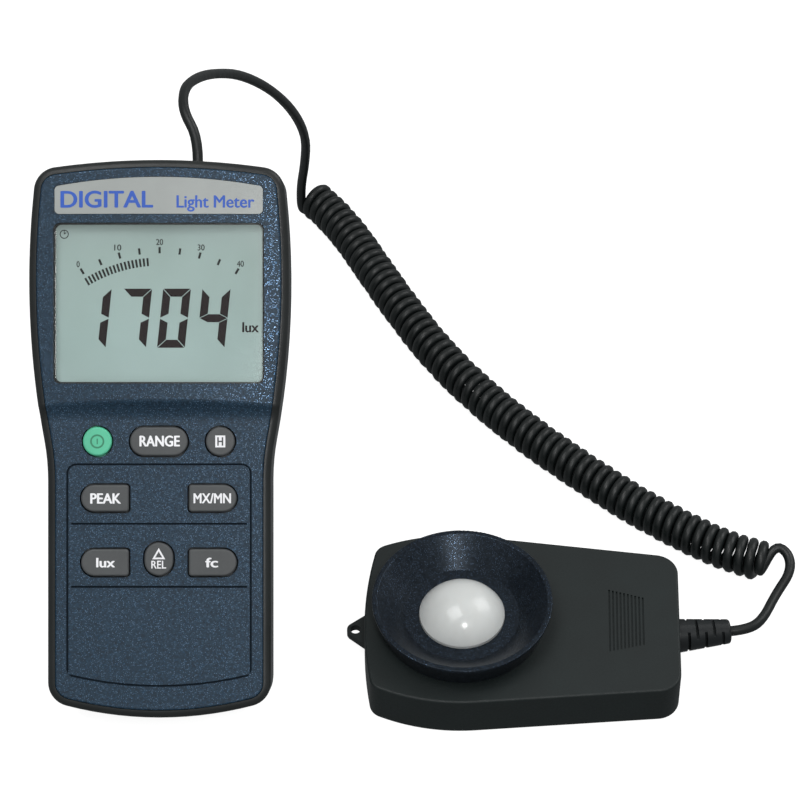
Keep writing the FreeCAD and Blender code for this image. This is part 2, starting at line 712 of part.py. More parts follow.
def make_tilt_stand():
    length = stand_length()
    half = STAND_HALF_WIDTH
    z0 = STAND_INSET
    z1 = STAND_INSET + STAND_THICKNESS
    foot_y = HINGE_Y - length
    root_y = HINGE_Y - KNUCKLE_RADIUS * 0.6
    plate = rounded_box(-half, half, foot_y, root_y + 4, z0, z1, 1.0)
    plate = plate.cut(box(-half - 1, half + 1, root_y, root_y + 10, z0 - 1, z1 + 1))
    foot = Part.makeCylinder(STAND_THICKNESS / 2, 2 * (half - 1), V(1 - half, foot_y, (z0 + z1) / 2), X_AXIS)
    knuckle = Part.makeCylinder(KNUCKLE_RADIUS, 2 * half, V(-half, HINGE_Y, HINGE_Z), X_AXIS)
    stand = fuse([plate, foot, knuckle])
    bore = Part.makeCylinder(PIN_RADIUS + PIN_CLEARANCE, 2 * half + 2, V(-half - 1, HINGE_Y, HINGE_Z), X_AXIS)
    stand = stand.cut(bore)
    stand = stand.cut(rounded_box(-7.5, 7.5, foot_y + 20, root_y - 16, z0 - 1, z1 + 1, 3.0))
    for side in (1, -1):
        middle = side * (half + 7.5) / 2
        stand = stand.cut(rounded_box(middle - 3.6, middle + 3.6, foot_y + 8, root_y - 6, z0 - 1, z0 + 0.5, 1.5))
    stand.rotate(V(0, HINGE_Y, HINGE_Z), X_AXIS, STAND_OPEN_DEG)
    return stand


def make_stand_pin():
    half = RECESS_HALF + BOX_WALL + PIN_BITE - 0.1
    return Part.makeCylinder(PIN_RADIUS, 2 * half, V(-half, HINGE_Y, HINGE_Z), X_AXIS)


def door_block(grow, z0, z1):
    half = DOOR_HALF + grow
    return rounded_box(-half, half, DOOR_Y0 - grow, DOOR_Y1 + grow, z0, z1, 1.5)


def make_battery_door():
    plate = door_block(0, RECESS_DEPTH, FLOOR_TOP_Z - DOOR_LEDGE - DOOR_LIFT)
    half = BOX_HALF - DOOR_GAP
    inner = box(-half, half, BOX_Y0 + DOOR_GAP, BOX_Y1 - DOOR_GAP, RECESS_DEPTH + 0.3, FLOOR_TOP_Z)
    boss = cylinder(DOOR_BOSS_RADIUS, 0, DOOR_SCREW_Y, RECESS_DEPTH, DOOR_BOSS_TOP_Z)
    door = fuse([plate, inner, boss])
    door = door.cut(cylinder(SCREW_HEAD_RADIUS + SCREW_FIT, 0, DOOR_SCREW_Y, 0, RECESS_DEPTH + SCREW_HEAD_HEIGHT))
    door = door.cut(cylinder(SCREW_SHANK_RADIUS + SCREW_FIT, 0, DOOR_SCREW_Y, 0, DOOR_BOSS_TOP_Z + 1))
    for i in range(3):
        y = DOOR_Y0 + 4 + 2.0 * i
        door = door.cut(box(-6, 6, y, y + 0.8, RECESS_DEPTH - 1, RECESS_DEPTH + 0.35))
    return door


def screw(x, y, head_z, tip_z, head_height):
    """A pan-head screw pointing up, with a cross recess in its underside head."""
    head = cylinder(SCREW_HEAD_RADIUS, x, y, head_z, head_z + head_height)
    head = head.makeFillet(0.4, edges_at_height(head, head_z))
    shank = cylinder(SCREW_SHANK_RADIUS - 0.1, x, y, head_z + head_height / 2, tip_z - 1)
    tip = cone(SCREW_SHANK_RADIUS - 0.1, 0.3, x, y, tip_z - 1, tip_z)
    body = fuse([head, shank, tip])
    for wide, long in ((0.5, 2.4), (2.4, 0.5)):
        slot = box(x - wide / 2, x + wide / 2, y - long / 2, y + long / 2, head_z - 1, head_z + 0.8)
        body = body.cut(slot)
    return body


def make_door_screw():
    return screw(0, DOOR_SCREW_Y, RECESS_DEPTH + 0.1, DOOR_SCREW_TOP_Z, SCREW_HEAD_HEIGHT - 0.15)


def make_case_screws():
    z = SCREW_SEAT_Z - SCREW_HEAD_HEIGHT
    return group([screw(x, y, z, z + CASE_SCREW_LENGTH, SCREW_HEAD_HEIGHT) for x, y in CASE_SCREWS])


# ---------------------------------------------------------------- inside the meter
def make_battery():
    z0 = BATTERY_Z0
    z1 = BATTERY_TOP_Z
    half = BATTERY_WIDTH / 2
    body = box(-half, half, BATTERY_Y0, BATTERY_END_Y, z0, z1)
    body = body.makeFillet(1.6, [e for e in body.Edges if e.BoundBox.YLength > 10])
    studs = []
    for x, radius in ((-TERMINAL_X, 2.9), (TERMINAL_X, 3.9)):
        start = V(x, BATTERY_END_Y - 0.5, (z0 + z1) / 2)
        studs.append(Part.makeCylinder(radius, TERMINAL_HEIGHT + 0.5, start, V(0, 1, 0)))
    return fuse([body] + studs)


def make_battery_snap():
    low = SNAP_MIDDLE_Z - SNAP_HALF_DEPTH
    high = SNAP_MIDDLE_Z + SNAP_HALF_DEPTH
    plate = box(-SNAP_HALF_WIDTH, SNAP_HALF_WIDTH, BATTERY_END_Y + 0.3, SNAP_END_Y, low, high)
    plate = plate.makeFillet(2.0, [e for e in plate.Edges if e.BoundBox.YLength > 3])
    for x, radius in ((-TERMINAL_X, 2.9), (TERMINAL_X, 3.9)):
        start = V(x, BATTERY_END_Y - 1, SNAP_MIDDLE_Z)
        plate = plate.cut(Part.makeCylinder(radius + 0.1, TERMINAL_HEIGHT + 1.2, start, V(0, 1, 0)))
    return plate


def bent_tube(radius, points, bends):
    """A round tube along straight runs joined by tangent arcs of the given radii."""
    path = Part.Wire(route_edges(points, bends))
    profile = Part.Wire([Part.Circle(points[0], points[1] - points[0], radius).toShape()])
    return path.makePipeShell([profile], True, True)


def route_edges(points, bends):
    edges = []
    at = points[0]
    for before, corner, after, bend in zip(points, points[1:], points[2:], bends):
        a = (before - corner).normalize()
        b = (after - corner).normalize()
        half_turn = (math.pi - a.getAngle(b)) / 2
        cut = bend * math.tan(half_turn)
        leave = corner + a * cut
        join = corner + b * cut
        middle_way = (a + b).normalize()
        middle = corner + middle_way * (bend / math.cos(half_turn) - bend)
        edges.append(Part.makeLine(at, leave))
        edges.append(Part.Arc(leave, middle, join).toShape())
        at = join
    edges.append(Part.makeLine(at, points[-1]))
    return edges


def make_battery_leads():
    """Two wires from the snap, up through the slot in the battery box's roof, to the board."""
    low = SNAP_MIDDLE_Z + SNAP_HALF_DEPTH
    y = BOX_Y1 - LEAD_SLOT / 2
    return group([cylinder(WIRE_RADIUS, x, y, low, BOARD_UNDER_Z) for x in (-3.0, 3.0)])


def make_main_board():
    board = case_prism(WALL + BOARD_MARGIN, BOARD_UNDER_Z, BOARD_TOP_Z)
    for x, y in CASE_SCREWS:
        board = board.cut(cylinder(BOSS_RADIUS + BOARD_MARGIN, x, y, 0, 60))
    return board


def make_board_chips():
    chips = []
    for x, y, wide, long, high in BOARD_CHIPS:
        chips.append(box(x - wide / 2, x + wide / 2, y - long / 2, y + long / 2, BOARD_UNDER_Z - high, BOARD_UNDER_Z))
    return group([c.makeChamfer(0.2, edges_at_height(c, BOARD_UNDER_Z - h[4])) for c, h in zip(chips, BOARD_CHIPS)])


def make_board_capacitors():
    cans = []
    for x, y, radius, high in BOARD_CANS:
        can = cylinder(radius, x, y, BOARD_UNDER_Z - high, BOARD_UNDER_Z)
        cans.append(can.makeFillet(0.4, edges_at_height(can, BOARD_UNDER_Z - high)))
    return group(cans)


def make_buzzer():
    x, y = BUZZER_AT
    low = BOARD_UNDER_Z - BUZZER_HEIGHT
    can = cylinder(BUZZER_RADIUS, x, y, low, BOARD_UNDER_Z)
    can = can.makeFillet(0.6, edges_at_height(can, low))
    return can.cut(cylinder(1.2, x, y, low - 1, low + 1.5))


def make_trimmer():
    x, y = TRIMMER_AT
    low = BOARD_UNDER_Z - 4.6
    body = box(x - 3.3, x + 3.3, y - 3.3, y + 3.3, low + 0.8, BOARD_UNDER_Z)
    dial = cylinder(2.4, x, y, low, low + 1.5)
    return fuse([body, dial]).cut(box(x - 2, x + 2, y - 0.3, y + 0.3, low - 1, low + 0.6))


def make_keypad_mat():
    half = WAIST_HALF_WIDTH - WALL - BOARD_MARGIN - 1.2
    mat = rounded_box(-half, half, MAT_Y0, MAT_Y1, BOARD_TOP_Z, BOARD_TOP_Z + MAT_THICKNESS, 3.0)
    for _, x, y in KEYS.values():
        dome = cone(MAT_DOME_RADIUS, MAT_DOME_RADIUS - 0.6, x, y, BOARD_TOP_Z + MAT_THICKNESS - 0.1, DOME_TOP_Z)
        mat = mat.fuse(dome)
    mat = mat.removeSplitter()
    for _, x, y in KEYS.values():
        pocket_top = BOARD_TOP_Z + PILL_LIFT + PILL_THICKNESS
        mat = mat.cut(cylinder(PILL_RADIUS + 0.05, x, y, BOARD_TOP_Z - 1, pocket_top))
    return mat


def make_contact_pills():
    z = BOARD_TOP_Z + PILL_LIFT
    return group([cylinder(PILL_RADIUS, x, y, z, z + PILL_THICKNESS) for _, x, y in KEYS.values()])


def make_display_glass():
    half_x = GLASS_WIDTH / 2
    half_y = GLASS_HEIGHT / 2
    z0 = GLASS_TOP_Z - GLASS_THICKNESS
    return box(-half_x, half_x, WINDOW_Y - half_y, WINDOW_Y + half_y, z0, GLASS_TOP_Z)


def make_display_backing():
    half_x = GLASS_WIDTH / 2 - 0.8
    half_y = GLASS_HEIGHT / 2 - CONTACT_STRIP_WIDTH - 0.4
    z1 = GLASS_TOP_Z - GLASS_THICKNESS
    return box(-half_x, half_x, WINDOW_Y - half_y, WINDOW_Y + half_y, z1 - BACKING_THICKNESS, z1)


def make_contact_strips():
    half = CONTACT_STRIP_LENGTH / 2
    z1 = GLASS_TOP_Z - GLASS_THICKNESS
    strips = []
    for side in (1, -1):
        y = WINDOW_Y + side * (GLASS_HEIGHT - CONTACT_STRIP_WIDTH) / 2
        strips.append(
            box(-half, half, y - CONTACT_STRIP_WIDTH / 2, y + CONTACT_STRIP_WIDTH / 2, BOARD_TOP_Z, z1)
        )
    return group(strips)


def make_display_frame():
    def ring(grow):
        half_x = GLASS_WIDTH / 2 + grow
        half_y = GLASS_HEIGHT / 2 + grow
        return box(-half_x, half_x, WINDOW_Y - half_y, WINDOW_Y + half_y, BOARD_TOP_Z, GLASS_TOP_Z)

    frame = ring(GLASS_FIT + FRAME_WALL).cut(ring(GLASS_FIT))
    return frame.common(case_prism(WALL + GLASS_FIT, 0, HUMP_Z))


def make_cord_gland():
    """A grommet moulded on the cord and held in the top end, modelled along Y."""
    y_seat = CASE_LENGTH - GLAND_SEAT
    neck = GLAND_RADIUS - 0.05
    outline = [
        (0, GLAND_IN_Y),
        (GLAND_FLANGE_RADIUS, GLAND_IN_Y),
        (GLAND_FLANGE_RADIUS, GLAND_WALL_Y),
        (neck, GLAND_WALL_Y),
        (neck, y_seat),
        (GLAND_FLANGE_RADIUS, y_seat),
        (GLAND_FLANGE_RADIUS - 0.5, GLAND_OUT_Y),
        (0, GLAND_OUT_Y),
    ]
    gland = revolve(outline)
    gland.rotate(ORIGIN, X_AXIS, -90)
    gland.translate(V(GLAND_X, 0, SPLIT_Z))
    return gland


def make_signal_leads():
    """The cord's two wires, from the gland's inner end up to the board."""
    leads = []
    turn_y = GLAND_IN_Y - 4
    for x in (GLAND_X - 1, GLAND_X + 1):
        points = [V(x, GLAND_IN_Y, SPLIT_Z), V(x, turn_y, SPLIT_Z), V(x, turn_y, BOARD_UNDER_Z)]
        leads.append(bent_tube(WIRE_RADIUS, points, [WIRE_BEND]))
    return group(leads)


# ---------------------------------------------------------------- sensor head
HEAD_SCREWS = [(-16.5, 20.0), (-16.5, -20.0), (51.0, 17.0), (51.0, -17.0)]
DOME_FLANGE_Z = HEAD_TOP_Z - 0.2 - DOME_FLANGE
SENSOR_BOARD_TOP_Z = SENSOR_BOARD_Z + BOARD_THICKNESS


def head_prism(inset, z0, z1):
    """The sensor head's outline moved in by inset: a bowed end, bulging sides and a straight taper."""
    end = (inset - HEAD_END_X, HEAD_END_HALF - inset)
    bulge = (end[0] / 2 + 2.8, HEAD_HALF - inset - 0.35)
    turn = (4.0, HEAD_HALF - inset)
    far = (HEAD_FAR_X - inset, HEAD_FAR_HALF - inset)
    upper = [arc(end, bulge, turn), line(turn, far)]
    lower = [e.mirror(ORIGIN, V(0, 1, 0)) for e in upper]
    ends = [arc((end[0], -end[1]), (inset - HEAD_BOW_X, 0), end), line(far, (far[0], -far[1]))]
    solid = prism(upper + lower + ends, z0, z1)
    near_spots = [end, (end[0], -end[1])]
    far_spots = [far, (far[0], -far[1])]
    solid = solid.makeFillet(HEAD_NEAR_CORNER - inset, upright_edges_at(solid, near_spots))
    return solid.makeFillet(HEAD_FAR_CORNER - inset, upright_edges_at(solid, far_spots))


def boot_cutter(radius):
    return Part.makeCylinder(radius, 12, V(HEAD_FAR_X - 8, 0, HEAD_SPLIT_Z), X_AXIS)


def make_sensor_bottom_case():
    outer = head_prism(0, 0, HEAD_SPLIT_Z)
    outer = outer.makeFillet(HEAD_EDGE_RADIUS, edges_at_height(outer, 0))
    body = outer.cut(head_prism(HEAD_WALL, HEAD_WALL, HEAD_SPLIT_Z + 1))
    posts = [cylinder(BOSS_RADIUS, x, y, 0.5, HEAD_SPLIT_Z) for x, y in HEAD_SCREWS]
    rests = []
    for x in (SENSOR_BOARD_X - SENSOR_BOARD_LENGTH / 2 + 3, SENSOR_BOARD_X + SENSOR_BOARD_LENGTH / 2 - 3):
        for y in (-SENSOR_BOARD_WIDTH / 2 + 3, SENSOR_BOARD_WIDTH / 2 - 3):
            rests.append(cylinder(2.0, x, y, 0.5, SENSOR_BOARD_Z))
    body = fuse([body, make_tab()] + posts + rests)
    for x, y in HEAD_SCREWS:
        body = body.cut(cylinder(SCREW_HEAD_RADIUS + SCREW_FIT, x, y, -1, HEAD_SCREW_SEAT_Z))
        body = body.cut(cylinder(SCREW_SHANK_RADIUS + SCREW_FIT, x, y, -1, HEAD_SPLIT_Z + 1))
    return body.cut(boot_cutter(BOOT_NECK_RADIUS))


def make_tab():
    z1 = HEAD_SPLIT_Z - TAB_DROP
    z0 = z1 - TAB_THICKNESS
    root_x = -HEAD_BOW_X + 0.8
    tip_x = -TAB_REACH + TAB_TIP_RADIUS
    spread = TAB_HALF - TAB_TIP_RADIUS
    run = math.hypot(root_x - tip_x, spread)
    nx = -spread / run * TAB_TIP_RADIUS
    ny = (root_x - tip_x) / run * TAB_TIP_RADIUS
    edges = [
        line((root_x, -TAB_HALF), (root_x, TAB_HALF)),
        line((root_x, TAB_HALF), (tip_x + nx, ny)),
        arc((tip_x + nx, ny), (-TAB_REACH, 0), (tip_x + nx, -ny)),
        line((tip_x + nx, -ny), (root_x, -TAB_HALF)),
    ]
    tab = prism(edges, z0, z1)
    return tab.cut(cylinder(EYE_RADIUS, -EYE_X, 0, z0 - 1, z1 + 1))


def make_sensor_top_case():
    outer = head_prism(0, HEAD_SPLIT_Z, HEAD_TOP_Z)
    outer = outer.makeFillet(HEAD_EDGE_RADIUS, edges_at_height(outer, HEAD_TOP_Z))
    body = outer.cut(head_prism(HEAD_WALL, HEAD_SPLIT_Z - 1, HEAD_TOP_Z - HEAD_WALL))
    posts = [cylinder(BOSS_RADIUS, x, y, HEAD_SPLIT_Z, HEAD_TOP_Z - HEAD_WALL / 2) for x, y in HEAD_SCREWS]
    body = fuse([body] + posts)
    body = body.cut(cylinder(DOME_FLANGE_RADIUS + SEAT_FIT, 0, 0, 0, 30))
    for x, y in HEAD_SCREWS:
        body = body.cut(cylinder(SCREW_SHANK_RADIUS - 0.1, x, y, 0, HEAD_TOP_Z - HEAD_WALL))
    for i in range(RIB_COUNT):
        x = RIB_X0 + i * RIB_PITCH
        half = RIB_HALF_NEAR + (RIB_HALF_FAR - RIB_HALF_NEAR) * i / (RIB_COUNT - 1)
        body = body.cut(box(x, x + RIB_WIDTH, -half, half, HEAD_TOP_Z - RIB_DEPTH, HEAD_TOP_Z + 1))
    return body.cut(boot_cutter(BOOT_NECK_RADIUS))


def make_collar():
    inner = COLLAR_RIM_RADIUS - COLLAR_RIM_WIDTH
    bore = DOME_RADIUS + SEAT_FIT
    lip = 0.8
    outline = [
        (bore, HEAD_TOP_Z),
        (COLLAR_BASE_RADIUS, HEAD_TOP_Z),
        (COLLAR_RIM_RADIUS, COLLAR_TOP_Z - lip),
        (COLLAR_RIM_RADIUS, COLLAR_TOP_Z),
        (inner, COLLAR_TOP_Z),
        (COLLAR_FLOOR_RADIUS, COLLAR_FLOOR_Z),
        (bore, COLLAR_FLOOR_Z),
    ]
    collar = revolve(outline)
    return collar.makeFillet(0.3, edges_at_height(collar, COLLAR_TOP_Z))


def make_dome():
    top = DOME_SHOULDER_Z + DOME_RISE
    ball = (DOME_RADIUS**2 + DOME_RISE**2) / (2 * DOME_RISE)
    centre = top - ball
    inner_ball = ball - DOME_WALL
    inner_radius = DOME_RADIUS - DOME_WALL
    inner_shoulder = centre + math.sqrt(inner_ball**2 - inner_radius**2)

    def on_ball(radius, angle):
        return V(radius * math.sin(angle), 0, centre + radius * math.cos(angle))

    outer_angle = math.asin(DOME_RADIUS / ball)
    inner_angle = math.asin(inner_radius / inner_ball)
    flange_top = DOME_FLANGE_Z + DOME_FLANGE
    down = [
        V(DOME_RADIUS, 0, DOME_SHOULDER_Z),
        V(DOME_RADIUS, 0, flange_top),
        V(DOME_FLANGE_RADIUS, 0, flange_top),
        V(DOME_FLANGE_RADIUS, 0, DOME_FLANGE_Z),
        V(inner_radius, 0, DOME_FLANGE_Z),
        V(inner_radius, 0, inner_shoulder),
    ]
    edges = [Part.makeLine(a, b) for a, b in zip(down, down[1:])]
    edges.append(Part.Arc(down[-1], on_ball(inner_ball, inner_angle / 2), V(0, 0, centre + inner_ball)).toShape())
    edges.append(Part.makeLine(V(0, 0, centre + inner_ball), V(0, 0, top)))
    edges.append(Part.Arc(V(0, 0, top), on_ball(ball, outer_angle / 2), down[0]).toShape())
    face = Part.Face(Part.Wire(Part.__sortEdges__(edges)))
    return face.revolve(ORIGIN, Z_AXIS, 360)


def make_filter_holder():
    filter_z = DOME_FLANGE_Z - FILTER_THICKNESS
    outline = [
        (DIODE_RADIUS + 1.5, SENSOR_BOARD_TOP_Z),
        (FILTER_RADIUS + 1.6, SENSOR_BOARD_TOP_Z),
        (FILTER_RADIUS + 1.6, DOME_FLANGE_Z),
        (FILTER_RADIUS + SEAT_FIT, DOME_FLANGE_Z),
        (FILTER_RADIUS + SEAT_FIT, filter_z),
        (DIODE_RADIUS + 1.5, filter_z),
    ]
    return revolve(outline)


def make_filter_glass():
    z = DOME_FLANGE_Z - FILTER_THICKNESS
    return cylinder(FILTER_RADIUS, 0, 0, z, z + FILTER_THICKNESS)


def make_photodiode():
    can = cylinder(DIODE_RADIUS, 0, 0, SENSOR_BOARD_TOP_Z, SENSOR_BOARD_TOP_Z + 2.6)
    can = can.cut(box(-2.6, 2.6, -2.6, 2.6, SENSOR_BOARD_TOP_Z + 2.2, SENSOR_BOARD_TOP_Z + 3))
    return can


def make_sensor_board():
    x0 = SENSOR_BOARD_X - SENSOR_BOARD_LENGTH / 2
    half = SENSOR_BOARD_WIDTH / 2
    return rounded_box(x0, x0 + SENSOR_BOARD_LENGTH, -half, half, SENSOR_BOARD_Z, SENSOR_BOARD_TOP_Z, 2.0)


def make_sensor_screws():
    z = HEAD_SCREW_SEAT_Z - 1.3
    return group([screw(x, y, z, HEAD_TOP_Z - HEAD_WALL - 0.6, 1.3) for x, y in HEAD_SCREWS])


BOOT_NECK_X = HEAD_FAR_X - HEAD_WALL - 0.3
BOOT_ROOT = V(HEAD_FAR_X, 0, HEAD_SPLIT_Z)


def make_sensor_boot():
    """A tapered strain relief along X, slit from alternate sides, which hangs a little to one side."""
    boot = Part.makeCone(BOOT_ROOT_RADIUS, BOOT_TIP_RADIUS, BOOT_LENGTH, BOOT_ROOT, X_AXIS)
    tip = [e for e in boot.Edges if e.BoundBox.XMin > HEAD_FAR_X + BOOT_LENGTH - 0.1]
    boot = boot.makeFillet(0.8, tip)
    pitch = BOOT_LENGTH / BOOT_RINGS
    reach = BOOT_ROOT_RADIUS + 1
    core = CORD_DIAMETER / 2 + 0.75
    for i in range(1, BOOT_RINGS):
        x = HEAD_FAR_X + i * pitch - BOOT_SLOT / 2
        for side in (1, -1):
            span = sorted((side * core, side * reach))
            if i % 2:
                slot = box(x, x + BOOT_SLOT, span[0], span[1], HEAD_SPLIT_Z - reach, HEAD_SPLIT_Z + reach)
            else:
                slot = box(x, x + BOOT_SLOT, -reach, reach, HEAD_SPLIT_Z + span[0], HEAD_SPLIT_Z + span[1])
            boot = boot.cut(slot)
    root = Part.makeCylinder(BOOT_ROOT_RADIUS, 2, V(HEAD_FAR_X - 2, 0, HEAD_SPLIT_Z), X_AXIS)
    boot = fuse([boot, root])
    boot.rotate(BOOT_ROOT, Z_AXIS, BOOT_BEND_DEG)
    boot = boot.cut(box(HEAD_FAR_X - 9, HEAD_FAR_X, -9, 9, -9, 19))
    neck = Part.makeCylinder(BOOT_NECK_RADIUS - 0.05, HEAD_WALL + 0.8, V(BOOT_NECK_X, 0, HEAD_SPLIT_Z), X_AXIS)
    flange_start = V(BOOT_NECK_X - BOOT_INNER, 0, HEAD_SPLIT_Z)
    flange = Part.makeCylinder(BOOT_ROOT_RADIUS - 0.5, BOOT_INNER, flange_start, X_AXIS)
    return fuse([boot, neck, flange])


def make_sensor_leads():
    """The cord's two wires, from the boot's inner end to the sensor board."""
    leads = []
    start_x = BOOT_NECK_X - BOOT_INNER
    end_x = SENSOR_BOARD_X + SENSOR_BOARD_LENGTH / 2 - 3
    for y in (-1.0, 1.0):
        points = [V(start_x, y, HEAD_SPLIT_Z), V(end_x, y, HEAD_SPLIT_Z), V(end_x, y, SENSOR_BOARD_TOP_Z)]
        leads.append(bent_tube(WIRE_RADIUS, points, [WIRE_BEND]))
    return group(leads)


METER_MAKERS = {
    "front_case": make_front_case,
    "face_panel": make_face_panel,
    "rear_case": make_rear_case,
    "name_label": make_name_label,
    "display_window": make_window,
    "display_glass": make_display_glass,
    "display_backing": make_display_backing,
    "display_frame": make_display_frame,
    "contact_strips": make_contact_strips,
    "keypad_mat": make_keypad_mat,
    "contact_pills": make_contact_pills,
    "main_board": make_main_board,
    "board_chips": make_board_chips,
    "board_capacitors": make_board_capacitors,
    "buzzer": make_buzzer,
    "trimmer": make_trimmer,
    "battery_9v": make_battery,
    "battery_snap": make_battery_snap,
    "battery_leads": make_battery_leads,
    "battery_door": make_battery_door,
    "door_screw": make_door_screw,
    "case_screws": make_case_screws,
    "tilt_stand": make_tilt_stand,
    "stand_pin": make_stand_pin,
    "cord_gland": make_cord_gland,
    "signal_leads": make_signal_leads,
}
SENSOR_MAKERS = {
    "sensor_bottom_case": make_sensor_bottom_case,
    "sensor_top_case": make_sensor_top_case,
    "sensor_collar": make_collar,
    "diffuser_dome": make_dome,
    "filter_holder": make_filter_holder,
    "filter_glass": make_filter_glass,
    "photodiode": make_photodiode,
    "sensor_board": make_sensor_board,
    "sensor_screws": make_sensor_screws,
    "sensor_boot": make_sensor_boot,
    "sensor_leads": make_sensor_leads,
}


def lean(shape):
    shape.rotate(ORIGIN, X_AXIS, TILT_DEG)
    shape.translate(V(0, 0, -meter_lift()))
    return shape


def set_down(shape):
    shape.rotate(ORIGIN, Z_AXIS, SENSOR_TURN_DEG)
    shape.translate(V(SENSOR_X, SENSOR_Y, 0))
    return shape


for node, maker in METER_MAKERS.items():
    parts[node] = lean(maker())
for node in KEYS:
    parts[node] = lean(make_key(node))
for node, maker in SENSOR_MAKERS.items():
    parts[node] = set_down(maker())

bounds = FreeCAD.BoundBox()
for shape in parts.values():
    bounds.add(shape.optimalBoundingBox(False, False))
centre = V(-(bounds.XMin + bounds.XMax) / 2, -(bounds.YMin + bounds.YMax) / 2, 0)
for shape in parts.values():
    shape.translate(centre)


# ---------------------------------------------------------------- the lead between them
# The points are in the row frame, chosen by hand: the tail that rises from the meter and drops
# to the table, the middle of the curly stretch, and the tail from the sensor head's boot.
METER_TAIL = [
    (-56.2, 68.0, 117.2),
    (-56.4, 77.0, 117.4),
    (-53.4, 86.6, 112.6),
    (-49.1, 97.4, 104.4),
    (-42.6, 109.4, 93.0),
    (-34.6, 120.0, 77.6),
    (-28.2, 129.0, 60.0),
    (-25.0, 136.2, 42.5),
    (-25.9, 141.2, 26.4),
    (-27.4, 144.5, 14.0),
    (-27.4, 144.3, 6.6),
]
COIL_MIDDLE = [
    (-24.0, 147.0),
    (-17.5, 139.3),
    (-10.5, 127.6),
    (0.5, 105.3),
    (13.3, 82.0),
    (25.7, 64.7),
    (41.0, 47.6),
    (56.9, 32.7),
    (72.5, 19.2),
    (87.1, 8.9),
    (98.0, 2.3),
    (107.7, -1.3),
]
SENSOR_TAIL = [
    (105.6, -23.3, 7.0),
    (109.9, -14.3, 7.3),
    (114.8, -6.8, 8.2),
    (114.6, -1.2, 9.6),
    (110.8, 1.8, 10.2),
    (106.9, 2.2, 8.6),
]
TAIL_START = 7.0
BOOT_TAIL_START = 5.0
COIL_LIFT = 0.05


def first_points(place, mouth, along, reach):
    """Where a tail leaves its mouth, in the row frame, and the next point straight out of it."""
    points = []
    for spot in (mouth, mouth + along * reach):
        vertex = place(Part.Vertex(spot))
        vertex.translate(centre)
        points.append(vertex.Point)
    return points


BEND_SHARE = 0.45


def cord_tube(name, diameter, points):
    """A tube whose bends are as large as their two runs allow."""
    bends = []
    for before, corner, after in zip(points, points[1:], points[2:]):
        turn = (corner - before).getAngle(after - corner)
        run = min((corner - before).Length, (after - corner).Length)
        bends.append(BEND_SHARE * run / math.tan(turn / 2))
    tube = bent_tube(diameter / 2, points, bends)
    length = Part.Wire(route_edges(points, bends)).Length
    section = math.pi * diameter**2 / 4
    print(name, "radii", [round(b, 1) for b in bends], "length", round(length, 1))
    print(name, "volume over section times length", round(tube.Volume / (section * length), 4))
    return tube


def make_cords():
    gland_mouth = V(GLAND_X, GLAND_OUT_Y, SPLIT_Z)
    meter_points = first_points(lean, gland_mouth, V(0, 1, 0), TAIL_START)
    bend = math.radians(BOOT_BEND_DEG)
    boot_along = V(math.cos(bend), math.sin(bend), 0)
    boot_mouth = BOOT_ROOT + boot_along * BOOT_LENGTH
    sensor_points = first_points(set_down, boot_mouth, boot_along, BOOT_TAIL_START)
    print("meter tail starts", meter_points, "sensor tail starts", sensor_points)
    meter_points += [V(*p) for p in METER_TAIL]
    sensor_points += [V(*p) for p in SENSOR_TAIL]
    coil_z = COIL_DIAMETER / 2 + COIL_LIFT
    coil_points = [V(x, y, coil_z) for x, y in COIL_MIDDLE]
    parts["cord_tail_meter"] = cord_tube("cord_tail_meter", CORD_DIAMETER, meter_points)
    parts["cord_coil"] = cord_tube("cord_coil", COIL_DIAMETER, coil_points)
    parts["cord_tail_sensor"] = cord_tube("cord_tail_sensor", CORD_DIAMETER, sensor_points)


make_cords()
for node, shape in parts.items():
    print(node, len(shape.Solids), shape.isValid(), round(shape.Volume, 1))
    shape.exportStep(f"parts/{node}.step")
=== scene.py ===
import json
import math

import bmesh
import bpy
from mathutils import Matrix, Vector


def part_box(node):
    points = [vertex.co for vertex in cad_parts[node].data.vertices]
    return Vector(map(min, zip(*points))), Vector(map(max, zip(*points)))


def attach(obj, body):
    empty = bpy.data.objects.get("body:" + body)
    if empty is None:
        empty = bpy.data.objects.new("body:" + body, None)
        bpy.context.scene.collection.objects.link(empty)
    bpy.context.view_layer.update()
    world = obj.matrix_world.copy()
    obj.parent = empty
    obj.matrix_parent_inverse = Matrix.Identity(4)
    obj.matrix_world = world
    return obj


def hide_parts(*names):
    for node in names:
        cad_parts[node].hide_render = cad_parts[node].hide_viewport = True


# A handheld light meter leaning on its open stand, with its sensor head on a curly lead.
# Everything is in metres in the row frame: +X right, +Y back, +Z up. Sizes given in
# millimetres are multiplied by MM. The meter's own frame has x across, y along its length
# from the foot, and z out of its face; the sensor head's own frame is about its collar's axis.

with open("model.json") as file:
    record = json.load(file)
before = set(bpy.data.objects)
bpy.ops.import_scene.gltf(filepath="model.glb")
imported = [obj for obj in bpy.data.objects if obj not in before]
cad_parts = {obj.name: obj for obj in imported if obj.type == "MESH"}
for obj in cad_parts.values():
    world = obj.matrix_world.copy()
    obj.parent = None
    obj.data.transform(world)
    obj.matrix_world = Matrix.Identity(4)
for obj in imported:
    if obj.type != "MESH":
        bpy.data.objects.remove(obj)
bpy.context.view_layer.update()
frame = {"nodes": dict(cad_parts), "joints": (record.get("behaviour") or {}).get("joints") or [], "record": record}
NODES = frame["nodes"]
JOINTS = {joint["name"]: joint for joint in frame["joints"]}
MM = 0.001

